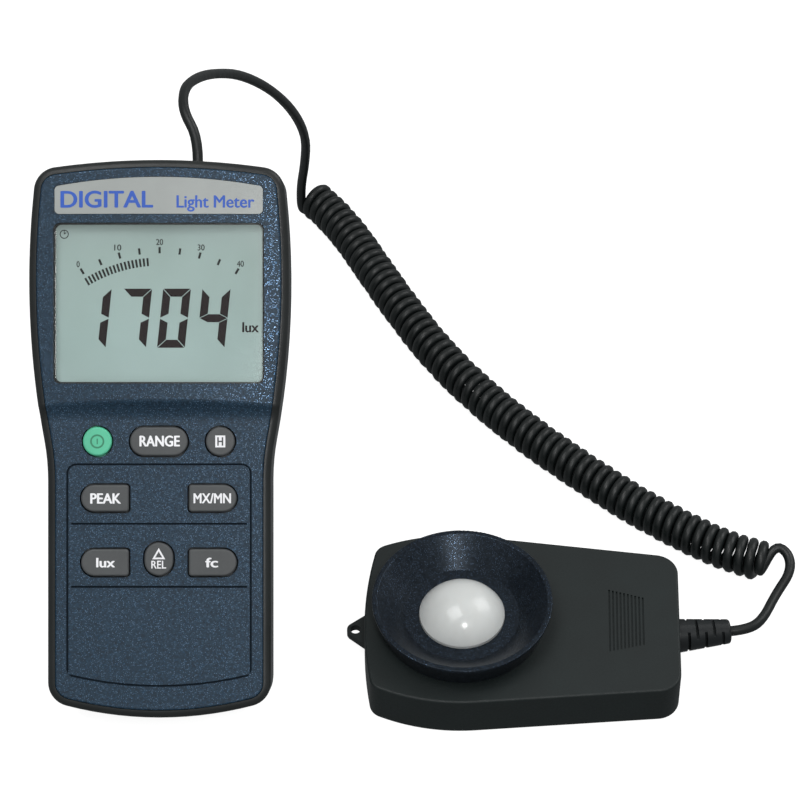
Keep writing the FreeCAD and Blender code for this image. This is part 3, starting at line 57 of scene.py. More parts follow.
# ---------------------------------------------------------------- places
TILT = math.radians(42.0)
HINGE_IN_METER = Vector((0.0, 105.0, 2.6)) * MM
GLAND_MOUTH_IN_METER = Vector((9.4, 151.0, 14.0)) * MM
HEAD_TURN = math.radians(-1.6)
BOOT_BEND = math.radians(8.0)
BOOT_ROOT_IN_HEAD = Vector((60.8, 0.0, 7.0)) * MM
BOOT_LENGTH = 14.6 * MM
CROWN_RADIUS = 420.0 * MM


def meter_matrix():
    """From the meter's own frame to the row frame."""
    turn = Matrix.Rotation(TILT, 4, "X")
    hinge = Vector(JOINTS["stand_hinge"]["pos_m"])
    return Matrix.Translation(hinge - turn @ HINGE_IN_METER) @ turn


def head_matrix():
    """From the sensor head's own frame to the row frame."""
    low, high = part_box("sensor_collar")
    middle = (low + high) / 2
    return Matrix.Translation((middle.x, middle.y, 0)) @ Matrix.Rotation(HEAD_TURN, 4, "Z")


METER = meter_matrix()
HEAD = head_matrix()


def box_in(node, place):
    """Lowest and highest corner of a CAD node in the meter's or the sensor head's own frame."""
    back = place.inverted()
    points = [back @ v.co for v in NODES[node].data.vertices]
    low = Vector([min(p[i] for p in points) for i in range(3)])
    high = Vector([max(p[i] for p in points) for i in range(3)])
    return low, high


def top_of(node):
    """How high a CAD node reaches in the meter's own frame."""
    low, high = box_in(node, METER)
    return high.z


# ---------------------------------------------------------------- material helpers
NOISE_LOW = 0.3
NOISE_HIGH = 0.7
MOTTLE_SCALE = 90.0
MOTTLE_DETAIL = 4.0
ROUGHNESS_SWING = 0.06
LEAST_ROUGHNESS = 0.02
GRAIN_STRENGTH = 0.35
SPECK_EDGE = 0.02
SPECK_CORE = 0.7
# The sockets of a colour mix: its two inputs and its output.
COLOUR_A = 6
COLOUR_B = 7
MIXED_COLOUR = 2


def new_material(name):
    material = bpy.data.materials.new(name)
    material.use_nodes = True
    tree = material.node_tree
    return material, tree, tree.nodes["Principled BSDF"]


def add(tree, kind, **settings):
    """A node with its settings; a setting named after a socket sets the socket's value."""
    node = tree.nodes.new(kind)
    for key, value in settings.items():
        if hasattr(node, key):
            setattr(node, key, value)
        else:
            node.inputs[key.replace("_", " ").title()].default_value = value
    return node


def join(tree, source, target):
    tree.links.new(source, target)


def coordinates(tree):
    return add(tree, "ShaderNodeTexCoord").outputs["Object"]


def noise(tree, scale, detail=2.0, roughness=0.5):
    node = add(tree, "ShaderNodeTexNoise", scale=scale, detail=detail, roughness=roughness)
    join(tree, coordinates(tree), node.inputs["Vector"])
    return node.outputs["Fac"]


def cells(tree, scale):
    """A random value for each small cell of the surface."""
    node = add(tree, "ShaderNodeTexVoronoi", scale=scale)
    join(tree, coordinates(tree), node.inputs["Vector"])
    return node


def ramp(tree, source, stops):
    """Colours along a value, from stops of a position and a colour."""
    node = add(tree, "ShaderNodeValToRGB")
    elements = node.color_ramp.elements
    while len(elements) < len(stops):
        elements.new(0.5)
    for element, (position, colour) in zip(elements, stops):
        element.position = position
        element.color = (*colour, 1.0)
    join(tree, source, node.inputs["Fac"])
    return node.outputs["Color"]


def span(tree, source, low, high, to_low, to_high):
    """A value's range spread over another range."""
    node = add(tree, "ShaderNodeMapRange")
    node.inputs["From Min"].default_value = low
    node.inputs["From Max"].default_value = high
    node.inputs["To Min"].default_value = to_low
    node.inputs["To Max"].default_value = to_high
    join(tree, source, node.inputs["Value"])
    return node.outputs["Result"]


def two_tone(tree, scale, one, other, detail=2.0):
    """Two colours in soft patches."""
    return ramp(tree, noise(tree, scale, detail), [(NOISE_LOW, one), (NOISE_HIGH, other)])


def uneven(tree, patches, low, high):
    """The middle of a noise's range spread between two values."""
    return span(tree, patches, NOISE_LOW, NOISE_HIGH, low, high)


def mix_colours(tree, factor, a, b, blend="MIX"):
    """Two colours mixed; each may be a constant or a socket, and the factor a number or a socket."""
    node = add(tree, "ShaderNodeMix", data_type="RGBA", blend_type=blend)
    if isinstance(factor, float):
        node.inputs["Factor"].default_value = factor
    else:
        join(tree, factor, node.inputs["Factor"])
    for socket, value in ((node.inputs[COLOUR_A], a), (node.inputs[COLOUR_B], b)):
        if isinstance(value, tuple):
            socket.default_value = (*value, 1.0)
        else:
            join(tree, value, socket)
    return node.outputs[MIXED_COLOUR]


def bump(tree, shader, height, strength, distance):
    node = add(tree, "ShaderNodeBump", strength=strength, distance=distance)
    join(tree, height, node.inputs["Height"])
    join(tree, node.outputs["Normal"], shader.inputs["Normal"])


def plain(
    name,
    colour,
    roughness,
    grain=1800.0,
    depth=0.00003,
    mottle=0.18,
    metallic=0.0,
    specular=0.5,
    coat=0.0,
):
    """A moulded or painted surface: slight colour mottle, uneven roughness and a fine grain."""
    material, tree, shader = new_material(name)
    dark = tuple(c * (1 - mottle) for c in colour)
    light = tuple(min(1.0, c * (1 + mottle)) for c in colour)
    join(tree, two_tone(tree, MOTTLE_SCALE, dark, light, MOTTLE_DETAIL), shader.inputs["Base Color"])
    fine = noise(tree, grain)
    smoothest = max(roughness - ROUGHNESS_SWING, LEAST_ROUGHNESS)
    join(tree, uneven(tree, fine, smoothest, roughness + ROUGHNESS_SWING), shader.inputs["Roughness"])
    bump(tree, shader, fine, GRAIN_STRENGTH, depth)
    shader.inputs["Metallic"].default_value = metallic
    shader.inputs["Specular IOR Level"].default_value = specular
    shader.inputs["Coat Weight"].default_value = coat
    return material


# ---------------------------------------------------------------- materials
def dots(tree, scale, share, size):
    """Round specks, 1 inside and 0 outside, in a share of the cells; also each cell's random values."""
    node = cells(tree, scale)
    values = add(tree, "ShaderNodeSeparateColor")
    join(tree, node.outputs["Color"], values.inputs["Color"])
    chosen = span(tree, values.outputs["Red"], 1 - share, 1 - share + SPECK_EDGE, 0.0, 1.0)
    inside = span(tree, node.outputs["Distance"], size * SPECK_CORE, size, 1.0, 0.0)
    both = add(tree, "ShaderNodeMath", operation="MULTIPLY")
    join(tree, chosen, both.inputs[0])
    join(tree, inside, both.inputs[1])
    return both.outputs[0], values


def by_flake(tree, is_flake, between, on_flake):
    """One value between the specks and another on them."""
    return span(tree, is_flake, 0.0, 1.0, between, on_flake)


def panel_paint():
    """Slate-blue paint with fine silver and blue flake."""
    material, tree, shader = new_material("panel_paint")
    stops = [
        (0.30, (0.003, 0.011, 0.021)),
        (0.52, (0.007, 0.025, 0.046)),
        (0.75, (0.018, 0.048, 0.082)),
    ]
    base = ramp(tree, noise(tree, scale=1500.0, detail=3.0, roughness=0.7), stops)
    is_flake, values = dots(tree, scale=3600.0, share=0.45, size=0.42)
    tint = mix_colours(tree, values.outputs["Green"], (0.010, 0.045, 0.10), (0.15, 0.24, 0.36))
    join(tree, mix_colours(tree, is_flake, base, tint), shader.inputs["Base Color"])
    join(tree, by_flake(tree, is_flake, 0.0, 0.75), shader.inputs["Metallic"])
    join(tree, by_flake(tree, is_flake, 0.50, 0.28), shader.inputs["Roughness"])
    bump(tree, shader, noise(tree, scale=3200.0, detail=1.0), strength=0.35, distance=0.00003)
    shader.inputs["Specular IOR Level"].default_value = 0.3
    return material


def collar_satin():
    """Near-black satin plastic with sparse blue-silver flake."""
    material, tree, shader = new_material("collar_satin")
    base = two_tone(tree, 700.0, (0.009, 0.013, 0.018), (0.017, 0.023, 0.031), detail=3.0)
    is_flake, values = dots(tree, scale=3800.0, share=0.4, size=0.40)
    tint = mix_colours(tree, values.outputs["Green"], (0.02, 0.03, 0.045), (0.12, 0.18, 0.28))
    join(tree, mix_colours(tree, is_flake, base, tint), shader.inputs["Base Color"])
    join(tree, by_flake(tree, is_flake, 0.6, 0.9), shader.inputs["Metallic"])
    join(tree, by_flake(tree, is_flake, 0.34, 0.24), shader.inputs["Roughness"])
    bump(tree, shader, noise(tree, scale=3200.0, detail=1.0), strength=0.2, distance=0.00002)
    shader.inputs["Specular IOR Level"].default_value = 0.2
    return material


def lcd_glass():
    """Grey-green liquid crystal with painted light, palest at the foot of the display and darker up it, and a
    faint cloud.
    """
    material, tree, shader = new_material("lcd_glass")
    split = add(tree, "ShaderNodeSeparateXYZ")
    join(tree, coordinates(tree), split.inputs["Vector"])
    low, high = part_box("display_glass")
    rise = span(tree, split.outputs["Z"], low.z, high.z, 0.0, 1.0)
    # Painted light: the colour pales toward the display's foot and darkens toward its top, as the light falls.
    stops = [
        (0.0, (0.50, 0.63, 0.63)),
        (0.35, (0.49, 0.62, 0.62)),
        (0.8, (0.46, 0.57, 0.56)),
        (1.0, (0.44, 0.53, 0.53)),
    ]
    painted_light_gradient = ramp(tree, rise, stops)
    cloud = two_tone(tree, 45.0, (0.90, 0.91, 0.90), (1.0, 1.0, 1.0))
    join(tree, mix_colours(tree, 1.0, painted_light_gradient, cloud, "MULTIPLY"), shader.inputs["Base Color"])
    shader.inputs["Roughness"].default_value = 0.45
    return material


def clear_window():
    """Thin clear plastic: lets the display through and keeps a soft reflection."""
    material, tree, shader = new_material("window_clear")
    tree.nodes.remove(shader)
    output = tree.nodes["Material Output"]
    through = add(tree, "ShaderNodeBsdfTransparent")
    through.inputs["Color"].default_value = (0.965, 0.98, 0.97, 1.0)
    gloss = add(tree, "ShaderNodeBsdfGlossy")
    join(tree, uneven(tree, noise(tree, 25.0), 0.05, 0.09), gloss.inputs["Roughness"])
    fresnel = add(tree, "ShaderNodeFresnel")
    fresnel.inputs["IOR"].default_value = 1.45
    both = add(tree, "ShaderNodeMixShader")
    join(tree, fresnel.outputs["Fac"], both.inputs["Fac"])
    join(tree, through.outputs["BSDF"], both.inputs[1])
    join(tree, gloss.outputs["BSDF"], both.inputs[2])
    join(tree, both.outputs["Shader"], output.inputs["Surface"])
    return material


def dome_white():
    """Milky acrylic with a soft glow under the skin."""
    material, tree, shader = new_material("dome_white")
    tone = two_tone(tree, 60.0, (0.53, 0.545, 0.535), (0.57, 0.585, 0.575))
    join(tree, tone, shader.inputs["Base Color"])
    join(tree, uneven(tree, noise(tree, 400.0), 0.16, 0.24), shader.inputs["Roughness"])
    shader.inputs["Subsurface Weight"].default_value = 0.35
    shader.inputs["Subsurface Radius"].default_value = (1.0, 0.9, 0.85)
    shader.inputs["Subsurface Scale"].default_value = 0.0025
    return material


def key_rubber(name, colour):
    return plain(name, colour, 0.55, grain=1400.0, depth=0.00002, mottle=0.08)


def label_plate():
    return plain("label_plate", (0.29, 0.31, 0.30), 0.42, grain=2500.0, mottle=0.05)


def back_plastic(name):
    """The coarser grain of the meter's back and stand."""
    return plain(name, (0.008, 0.009, 0.009), 0.5, grain=1100.0, depth=0.00006, specular=0.35)


def lead_rubber(name, colour, grain, depth, mottle):
    """The soft black of the lead and its boot."""
    return plain(name, colour, 0.42, grain=grain, depth=depth, mottle=mottle, specular=0.35)


def tinted_glass(name, colour):
    material, tree, shader = new_material(name)
    deeper = tuple(c * 0.9 for c in colour)
    tone = two_tone(tree, 120.0, colour, deeper)
    join(tree, tone, shader.inputs["Base Color"])
    shader.inputs["Roughness"].default_value = 0.08
    shader.inputs["Transmission Weight"].default_value = 0.6
    return material


def ink(name, colour, roughness=0.5, specular=0.4):
    return plain(name, colour, roughness, grain=3000.0, depth=0.000005, mottle=0.06, specular=specular)


MATERIALS = {
    "panel_paint": panel_paint(),
    "collar_satin": collar_satin(),
    "lcd_glass": lcd_glass(),
    "window_clear": clear_window(),
    "dome_white": dome_white(),
    "label_plate": label_plate(),
    "case_plastic": plain(
        "case_plastic", (0.010, 0.012, 0.012), 0.42, grain=2200.0, depth=0.00002, specular=0.35
    ),
    "case_back_plastic": back_plastic("case_back_plastic"),
    "frame_plastic": plain("frame_plastic", (0.005, 0.005, 0.005), 0.5, specular=0.35),
    "lcd_backing": plain("lcd_backing", (0.55, 0.58, 0.54), 0.35),
    "elastomer": plain("elastomer", (0.42, 0.40, 0.36), 0.6),
    "silicone": plain("silicone", (0.22, 0.23, 0.24), 0.6),
    "carbon_pill": plain("carbon_pill", (0.01, 0.01, 0.01), 0.7),
    "board_green": plain("board_green", (0.010, 0.09, 0.035), 0.35, coat=0.2),
    "chip_black": plain("chip_black", (0.012, 0.012, 0.013), 0.55),
    "can_metal": plain("can_metal", (0.55, 0.55, 0.56), 0.3, metallic=1.0, mottle=0.06),
    "buzzer_black": plain("buzzer_black", (0.012, 0.012, 0.012), 0.5),
    "trimmer_blue": plain("trimmer_blue", (0.015, 0.06, 0.35), 0.35),
    "battery_jacket": plain("battery_jacket", (0.05, 0.052, 0.06), 0.32, metallic=0.6, mottle=0.05),
    "snap_black": plain("snap_black", (0.012, 0.012, 0.012), 0.5),
    "wire_red": plain("wire_red", (0.35, 0.01, 0.01), 0.4, mottle=0.06),
    "stand_plastic": back_plastic("stand_plastic"),
    "screw_steel": plain("screw_steel", (0.42, 0.42, 0.43), 0.32, metallic=1.0, mottle=0.08),
    "pin_steel": plain("pin_steel", (0.5, 0.5, 0.51), 0.25, metallic=1.0, mottle=0.08),
    "key_green": key_rubber("key_green", (0.085, 0.48, 0.29)),
    "key_grey": key_rubber("key_grey", (0.052, 0.056, 0.058)),
    "cord_black": lead_rubber("cord_black", (0.004, 0.006, 0.006), grain=900.0, depth=0.00002, mottle=0.25),
    "boot_black": lead_rubber("boot_black", (0.004, 0.006, 0.007), grain=1200.0, depth=0.00004, mottle=0.2),
    "sensor_plastic": plain(
        "sensor_plastic", (0.005, 0.009, 0.009), 0.55, grain=1500.0, depth=0.00005, mottle=0.12, specular=0.35
    ),
    "filter_green": tinted_glass("filter_green", (0.30, 0.50, 0.32)),
    "diode_can": plain("diode_can", (0.5, 0.42, 0.25), 0.3, metallic=1.0, mottle=0.06),
}
INK = {
    "ink_white": ink("ink_white", (0.78, 0.78, 0.80)),
    "ink_blue": ink("ink_blue", (0.020, 0.085, 0.42)),
    "ink_green": ink("ink_green", (0.03, 0.20, 0.11)),
    "ink_grey": ink("ink_grey", (0.052, 0.056, 0.058)),
    # Painted shade: the dark laid on the groove floors, where shade falls in the grooves.
    "groove_painted_shade": ink("groove_painted_shade", (0.003, 0.008, 0.014), 0.7, 0.1),
    "lcd_dark": ink("lcd_dark", (0.012, 0.003, 0.004), 0.7, 0.1),
    "lcd_fine": ink("lcd_fine", (0.02, 0.02, 0.02), 0.7, 0.1),
}


def dress_nodes():
    """Each CAD node takes the material of its slot in the record."""
    for part in frame["record"]["subparts"]:
        node = NODES[part["node"]]
        material = MATERIALS[part["material_slot"]]
        node.data.materials.clear()
        node.data.materials.append(material)


# ---------------------------------------------------------------- flat marks: legends and segments
def mesh_object(name, bm, material, place, body):
    """A piece that rides on a body, from a bmesh drawn in the frame that a matrix places."""
    mesh = bpy.data.meshes.new(name)
    bm.to_mesh(mesh)
    bm.free()
    piece = bpy.data.objects.new(name, mesh)
    bpy.context.scene.collection.objects.link(piece)
    mesh.transform(place)
    mesh.materials.append(material)
    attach(piece, body)
    return piece


def add_polygon(bm, points, low, high):
    """A thin prism over a flat outline, given anticlockwise from above."""
    bottom = [bm.verts.new((x, y, low)) for x, y in points]
    top = [bm.verts.new((x, y, high)) for x, y in points]
    bm.faces.new(top)
    bm.faces.new(list(reversed(bottom)))
    count = len(points)
    for i in range(count):
        j = (i + 1) % count
        bm.faces.new((bottom[i], bottom[j], top[j], top[i]))


def add_ring(bm, centre, outer, inner, low, high, steps=40):
    """A flat ring as a run of short blocks."""
    for i in range(steps):
        a = 2 * math.pi * i / steps
        b = 2 * math.pi * (i + 1) / steps
        corners = [(inner, a), (outer, a), (outer, b), (inner, b)]
        points = [(centre[0] + r * math.cos(t), centre[1] + r * math.sin(t)) for r, t in corners]
        add_polygon(bm, points, low, high)


def letters_mesh(text):
    """Letters of size 1 and depth 1, lying flat."""
    curve = bpy.data.curves.new("letters", "FONT")
    curve.body = text
    curve.size = 1.0
    curve.extrude = 0.5
    curve.resolution_u = 6
    letters = bpy.data.objects.new("letters", curve)
    bpy.context.scene.collection.objects.link(letters)
    bpy.context.view_layer.update()
    mesh = bpy.data.meshes.new_from_object(letters.evaluated_get(bpy.context.evaluated_depsgraph_get()))
    bpy.data.objects.remove(letters)
    bpy.data.curves.remove(curve)
    return mesh


def extent(mesh, axis):
    values = [v.co[axis] for v in mesh.vertices]
    return min(values), max(values)


CAP_HEIGHT = extent(letters_mesh("H"), 1)[1]
INK_DEPTH = 0.03 * MM
INK_GAP = 0.01 * MM
COPY_LIFT = 0.002 * MM


def legend(name, text, body, place, height, width, middle, material, bold, bend=None):
    """Flat letters of a given cap height and overall width, centred on a point.

    Their weight comes from copies shifted a little to each side, each just above the last.
    """
    base = letters_mesh(text)
    left, right = extent(base, 0)
    across = (width - 2 * bold) * MM / (right - left)
    up = (height - bold) * MM / CAP_HEIGHT
    bm = bmesh.new()
    centred = Matrix.Translation((-(left + right) / 2, 0, 0))
    scale = Matrix.Diagonal((across, up, INK_DEPTH, 1.0))
    shifts = [(-bold, 0.0), (bold, 0.0), (0.0, -bold / 2), (0.0, bold / 2)]
    for i, (dx, dy) in enumerate(shifts):
        copy = base.copy()
        shift = Vector((dx * MM, dy * MM - up * CAP_HEIGHT / 2, INK_DEPTH / 2 + i * COPY_LIFT))
        copy.transform(Matrix.Translation(middle + shift) @ scale @ centred)
        bm.from_mesh(copy)
        bpy.data.meshes.remove(copy)
    bpy.data.meshes.remove(base)
    if bend:
        for vertex in bm.verts:
            vertex.co.z += bend(vertex.co.x)
    return mesh_object(name, bm, material, place, body)


# ---------------------------------------------------------------- keys
KEY_TEXTS = {
    # key: (text, cap height, width, dx, dy, bold) in millimetres
    "key_range": ("RANGE", 2.9, 10.9, 0.25, 0.1, 0.13),
    "key_peak": ("PEAK", 2.8, 8.3, 0.2, -0.05, 0.13),
    "key_max_min": ("MX/MN", 2.7, 10.1, -0.1, 0.0, 0.10),
    "key_lux": ("lux", 2.6, 5.1, 0.2, 0.0, 0.13),
    "key_relative": ("REL", 2.1, 4.0, 0.0, -1.45, 0.05),
    "key_foot_candle": ("fc", 2.6, 3.5, -0.25, 0.0, 0.13),
}
POWER_RING_OUTER = 1.9 * MM
POWER_RING_INNER = 1.45 * MM
POWER_BAR_HALF_WIDTH = 0.16 * MM
POWER_BAR_HALF_LENGTH = 0.75 * MM
HOLD_HALF_WIDTH = 1.35 * MM
HOLD_HALF_LENGTH = 1.6 * MM
HOLD_LETTER_HEIGHT = 2.3
HOLD_LETTER_WIDTH = 1.6
HOLD_LETTER_BOLD = 0.08
TRIANGLE_RISE = 1.15 * MM
# The triangle's corners, in millimetres from its middle.
TRIANGLE_OUTER = [(-1.75, -1.15), (1.75, -1.15), (0.0, 1.9)]
TRIANGLE_INNER = [(-0.95, -0.70), (0.95, -0.70), (0.0, 0.95)]


def key_top(key):
    """The middle of a key's top, in the meter's own frame."""
    low, high = box_in(key, METER)
    return Vector(((low.x + high.x) / 2, (low.y + high.y) / 2, high.z))


def make_key_legends():
    for key, (text, height, width, dx, dy, bold) in KEY_TEXTS.items():
        middle = key_top(key) + Vector((dx, dy, 0.0)) * MM
        legend(
            "legend_" + key, text, key, METER, height, width, middle, INK["ink_white"], bold
        )


def add_oblong(bm, top, half_width, half_length):
    """An upright oblong of ink about a point."""
    left, right = top.x - half_width, top.x + half_width
    near, far = top.y - half_length, top.y + half_length
    add_polygon(bm, [(left, near), (right, near), (right, far), (left, far)], top.z, top.z + INK_DEPTH)


def make_power_symbol():
    """A ring with a bar in it."""
    top = key_top("key_power")
    bm = bmesh.new()
    add_ring(bm, (top.x, top.y), POWER_RING_OUTER, POWER_RING_INNER, top.z, top.z + INK_DEPTH)
    add_oblong(bm, top, POWER_BAR_HALF_WIDTH, POWER_BAR_HALF_LENGTH)
    mesh_object("symbol_power", bm, INK["ink_green"], METER, "key_power")


def make_hold_symbol():
    """A white oblong with an H left out of it, shown as an oblong with a grey letter on it."""
    top = key_top("key_hold")
    bm = bmesh.new()
    add_oblong(bm, top, HOLD_HALF_WIDTH, HOLD_HALF_LENGTH)
    mesh_object("symbol_hold", bm, INK["ink_white"], METER, "key_hold")
    middle = top + Vector((0, 0, INK_DEPTH))
    legend(
        "legend_key_hold",
        "H",
        "key_hold",
        METER,
        HOLD_LETTER_HEIGHT,
        HOLD_LETTER_WIDTH,
        middle,
        INK["ink_grey"],
        HOLD_LETTER_BOLD,
    )


def make_relative_symbol():
    """An open triangle over the lettering."""
    top = key_top("key_relative")
    middle_y = top.y + TRIANGLE_RISE
    bm = bmesh.new()
    for i in range(3):
        j = (i + 1) % 3
        side = [TRIANGLE_OUTER[i], TRIANGLE_OUTER[j], TRIANGLE_INNER[j], TRIANGLE_INNER[i]]
        points = [(top.x + x * MM, middle_y + y * MM) for x, y in side]
        add_polygon(bm, points, top.z, top.z + INK_DEPTH)
    mesh_object("symbol_relative", bm, INK["ink_white"], METER, "key_relative")


# ---------------------------------------------------------------- groove lines, with painted shade in them
# These sizes are all in millimetres.
GROOVE_FLOOR_Z = 31.5
GROOVE_LINE = 0.5
GROOVE_HALF_WIDTH = 24.7
GROOVE_TOP_Y = 68.4
GROOVE_SIDE_Y = 11.7
GROOVE_BOTTOM_Y = 8.7
GROOVE_CORNER = 2.4
GROOVE_LINE_HALF = 23.7
GROOVE_LINES_Y = (52.4, 35.4)
CORNER_STEPS = 6
FOOT_STEPS = 10
SHORTEST_RUN = 0.01


def groove_shade_strip(bm, start, end):
    """A thin strip of painted shade on the groove's flat floor, from one point to another."""
    (ax, ay), (bx, by) = start, end
    run = Vector((bx - ax, by - ay))
    if run.length < SHORTEST_RUN:
        return
    side = Vector((-run.y, run.x)).normalized() * GROOVE_LINE / 2
    corners = [
        (ax + side.x, ay + side.y),
        (ax - side.x, ay - side.y),
        (bx - side.x, by - side.y),
        (bx + side.x, by + side.y),
    ]
    low = GROOVE_FLOOR_Z * MM
    add_polygon(bm, anticlockwise([(x * MM, y * MM) for x, y in corners]), low, low + INK_DEPTH)


def groove_outline():
    """Rounded at the top corners, bowed out at the foot."""
    points = []
    for step in range(CORNER_STEPS + 1):
        a = math.radians(90 * step / CORNER_STEPS)
        x = GROOVE_HALF_WIDTH - GROOVE_CORNER + GROOVE_CORNER * math.cos(a)
        points.append((x, GROOVE_TOP_Y - GROOVE_CORNER + GROOVE_CORNER * math.sin(a)))
    points += [(-x, y) for x, y in reversed(points)]
    wide = GROOVE_HALF_WIDTH
    for step in range(FOOT_STEPS + 1):
        x = -wide + 2 * wide * step / FOOT_STEPS
        points.append((x, GROOVE_BOTTOM_Y + (GROOVE_SIDE_Y - GROOVE_BOTTOM_Y) * (x / wide) ** 2))
    return points


def make_groove_shade_lines():
    # Painted shade: dark strips along every groove's floor.
    bm = bmesh.new()
    for y in GROOVE_LINES_Y:
        groove_shade_strip(bm, (-GROOVE_LINE_HALF, y), (GROOVE_LINE_HALF, y))
    outline = groove_outline()
    for start, end in zip(outline, outline[1:] + outline[:1]):
        groove_shade_strip(bm, start, end)
    mesh_object("groove_shade_lines", bm, INK["groove_painted_shade"], METER, "meter")


# ---------------------------------------------------------------- name label
LABEL_WORDS = [
    # name, text, cap height, width, x, y and bold, in millimetres
    ("label_word_left", "DIGITAL", 4.5, 25.0, -13.9, 139.7, 0.17),
    ("label_word_right", "Light Meter", 3.3, 20.9, 15.3, 139.1, 0.10),
]


def crown_drop(x):
    """The crowned face's height from that of its middle, at a distance across; never above 0."""
    return math.sqrt(CROWN_RADIUS**2 - x**2) - CROWN_RADIUS


def make_label_words():
    lift = top_of("name_label") + INK_GAP
    blue = INK["ink_blue"]
    for name, text, height, width, x, y, bold in LABEL_WORDS:
        middle = Vector((x * MM, y * MM, lift))
        legend(name, text, "meter", METER, height, width, middle, blue, bold, crown_drop)


# ---------------------------------------------------------------- display
# Sizes without MM are in millimetres here, and angles are in degrees.
DIGIT_LOW = 99.85
DIGIT_HIGH = 115.8
DIGIT_SLANT = 0.105
SEGMENT_WIDTH = 2.15
SEGMENT_GAP = 0.28
SEGMENTS = {
    "0": "abcdef",
    "1": "bc",
    "4": "bcfg",
    "7": "abc",
}
DIGITS = [
    # digit, left side and width
    ("1", -22.0, 7.4),
    ("7", -11.4, 7.7),
    ("0", -0.7, 7.5),
    ("4", 9.9, 7.6),
]


def segment_shapes(width, height):
    """The seven strokes of a digit with mitred ends, in millimetres from its lower left corner."""
    t = SEGMENT_WIDTH
    g = SEGMENT_GAP / 2
    h = height / 2
    return {
        "a": [(g, height), (t + g, height - t), (width - t - g, height - t), (width - g, height)],
        "b": [(width, height - g), (width - t, height - t - g), (width - t, h + t / 2 + g), (width, h + g)],
        "c": [(width, h - g), (width - t, h - t / 2 - g), (width - t, t + g), (width, g)],
        "d": [(g, 0), (width - g, 0), (width - t - g, t), (t + g, t)],
        "e": [(0, h - g), (0, g), (t, t + g), (t, h - t / 2 - g)],
        "f": [(0, height - g), (0, h + g), (t, h + t / 2 + g), (t, height - t - g)],
        "g": [
            (t + g, h - t / 2),
            (width - t - g, h - t / 2),
            (width - g, h),
            (width - t - g, h + t / 2),
            (t + g, h + t / 2),
            (g, h),
        ],
    }


def anticlockwise(points):
    area = sum(a[0] * b[1] - b[0] * a[1] for a, b in zip(points, points[1:] + points[:1]))
    return points if area > 0 else points[::-1]


def make_reading(z):
    bm = bmesh.new()
    for digit, left, width in DIGITS:
        shapes = segment_shapes(width, DIGIT_HIGH - DIGIT_LOW)
        for key in SEGMENTS[digit]:
            points = [((left + x + DIGIT_SLANT * y) * MM, (DIGIT_LOW + y) * MM) for x, y in shapes[key]]
            add_polygon(bm, anticlockwise(points), z, z + INK_DEPTH)
    mesh_object("display_reading", bm, INK["lcd_dark"], METER, "meter")


ARC_CENTRE = (0.0, 85.0)
ARC_TICK_RADIUS = 41.2
ARC_TICK_LENGTH = 1.7
ARC_TICK_WIDTH = 0.6
ARC_TICKS = 9
ARC_TICK_START = -30.5
ARC_TICK_STEP = 7.625
ARC_BAR_RADIUS = 38.1
ARC_BAR_LENGTH = 2.2
ARC_BAR_WIDTH = 0.56
ARC_BARS = 18
ARC_BAR_START = -30.85
ARC_BAR_STEP = 1.53
NUMBER_RADIUS = 43.4
NUMBER_HEIGHT = 1.6
NUMBER_BOLD = 0.03
NUMBERS = [
    # text, x and width
    ("0", -22.0, 0.85),
    ("10", -11.3, 1.9),
    ("20", 0.0, 1.9),
    ("30", 11.2, 1.9),
    ("40", 21.8, 1.9),
]
CLOCK_CENTRE = Vector((-25.75, 130.5)) * MM
CLOCK_OUTER = 1.22 * MM
CLOCK_INNER = 0.98 * MM
CLOCK_STEPS = 32
CLOCK_HAND_HALF_WIDTH = 0.1
CLOCK_HANDS = [
    # angle from straight up and length
    (0.0, 1.0),
    (50.0, 0.7),
]
UNIT_MIDDLE = (24.55, 105.4)
UNIT_HEIGHT = 2.75
UNIT_WIDTH = 4.5
UNIT_BOLD = 0.12


def radial_block(bm, angle, radius, length, width, z):
    """A short stroke that points at the arc's centre; the angle is from straight up, to the right."""
    inner, outer = radius - length / 2, radius + length / 2
    a = math.radians(angle)
    along = (math.sin(a), math.cos(a))
    across = (math.cos(a), -math.sin(a))
    points = []
    for r, s in ((inner, -1), (inner, 1), (outer, 1), (outer, -1)):
        x = ARC_CENTRE[0] + along[0] * r + across[0] * s * width / 2
        y = ARC_CENTRE[1] + along[1] * r + across[1] * s * width / 2
        points.append((x * MM, y * MM))
    add_polygon(bm, anticlockwise(points), z, z + INK_DEPTH)


def make_scale(z):
    bm = bmesh.new()
    for i in range(ARC_TICKS):
        angle = ARC_TICK_START + i * ARC_TICK_STEP
        radial_block(bm, angle, ARC_TICK_RADIUS, ARC_TICK_LENGTH, ARC_TICK_WIDTH, z)
    for i in range(ARC_BARS):
        angle = ARC_BAR_START + i * ARC_BAR_STEP
        radial_block(bm, angle, ARC_BAR_RADIUS, ARC_BAR_LENGTH, ARC_BAR_WIDTH, z)
    mesh_object("display_scale", bm, INK["lcd_fine"], METER, "meter")


def make_scale_numbers(z):
    dark = INK["lcd_fine"]
    for text, x, width in NUMBERS:
        angle = math.asin(x / NUMBER_RADIUS)
        y = ARC_CENTRE[1] + NUMBER_RADIUS * math.cos(angle)
        middle = Vector((x * MM, y * MM, z))
        name = "display_number_" + text
        legend(name, text, "meter", METER, NUMBER_HEIGHT, width, middle, dark, NUMBER_BOLD)


def make_clock_icon(z):
    centre = CLOCK_CENTRE
    bm = bmesh.new()
    add_ring(bm, centre, CLOCK_OUTER, CLOCK_INNER, z, z + INK_DEPTH, CLOCK_STEPS)
    for angle, length in CLOCK_HANDS:
        a = math.radians(angle)
        across = Vector((math.cos(a), -math.sin(a))) * CLOCK_HAND_HALF_WIDTH * MM
        end = Vector((math.sin(a), math.cos(a))) * length * MM
        points = [centre - across, centre + across, centre + across + end, centre - across + end]
        add_polygon(bm, anticlockwise([tuple(p) for p in points]), z, z + INK_DEPTH)
    mesh_object("display_clock", bm, INK["lcd_fine"], METER, "meter")


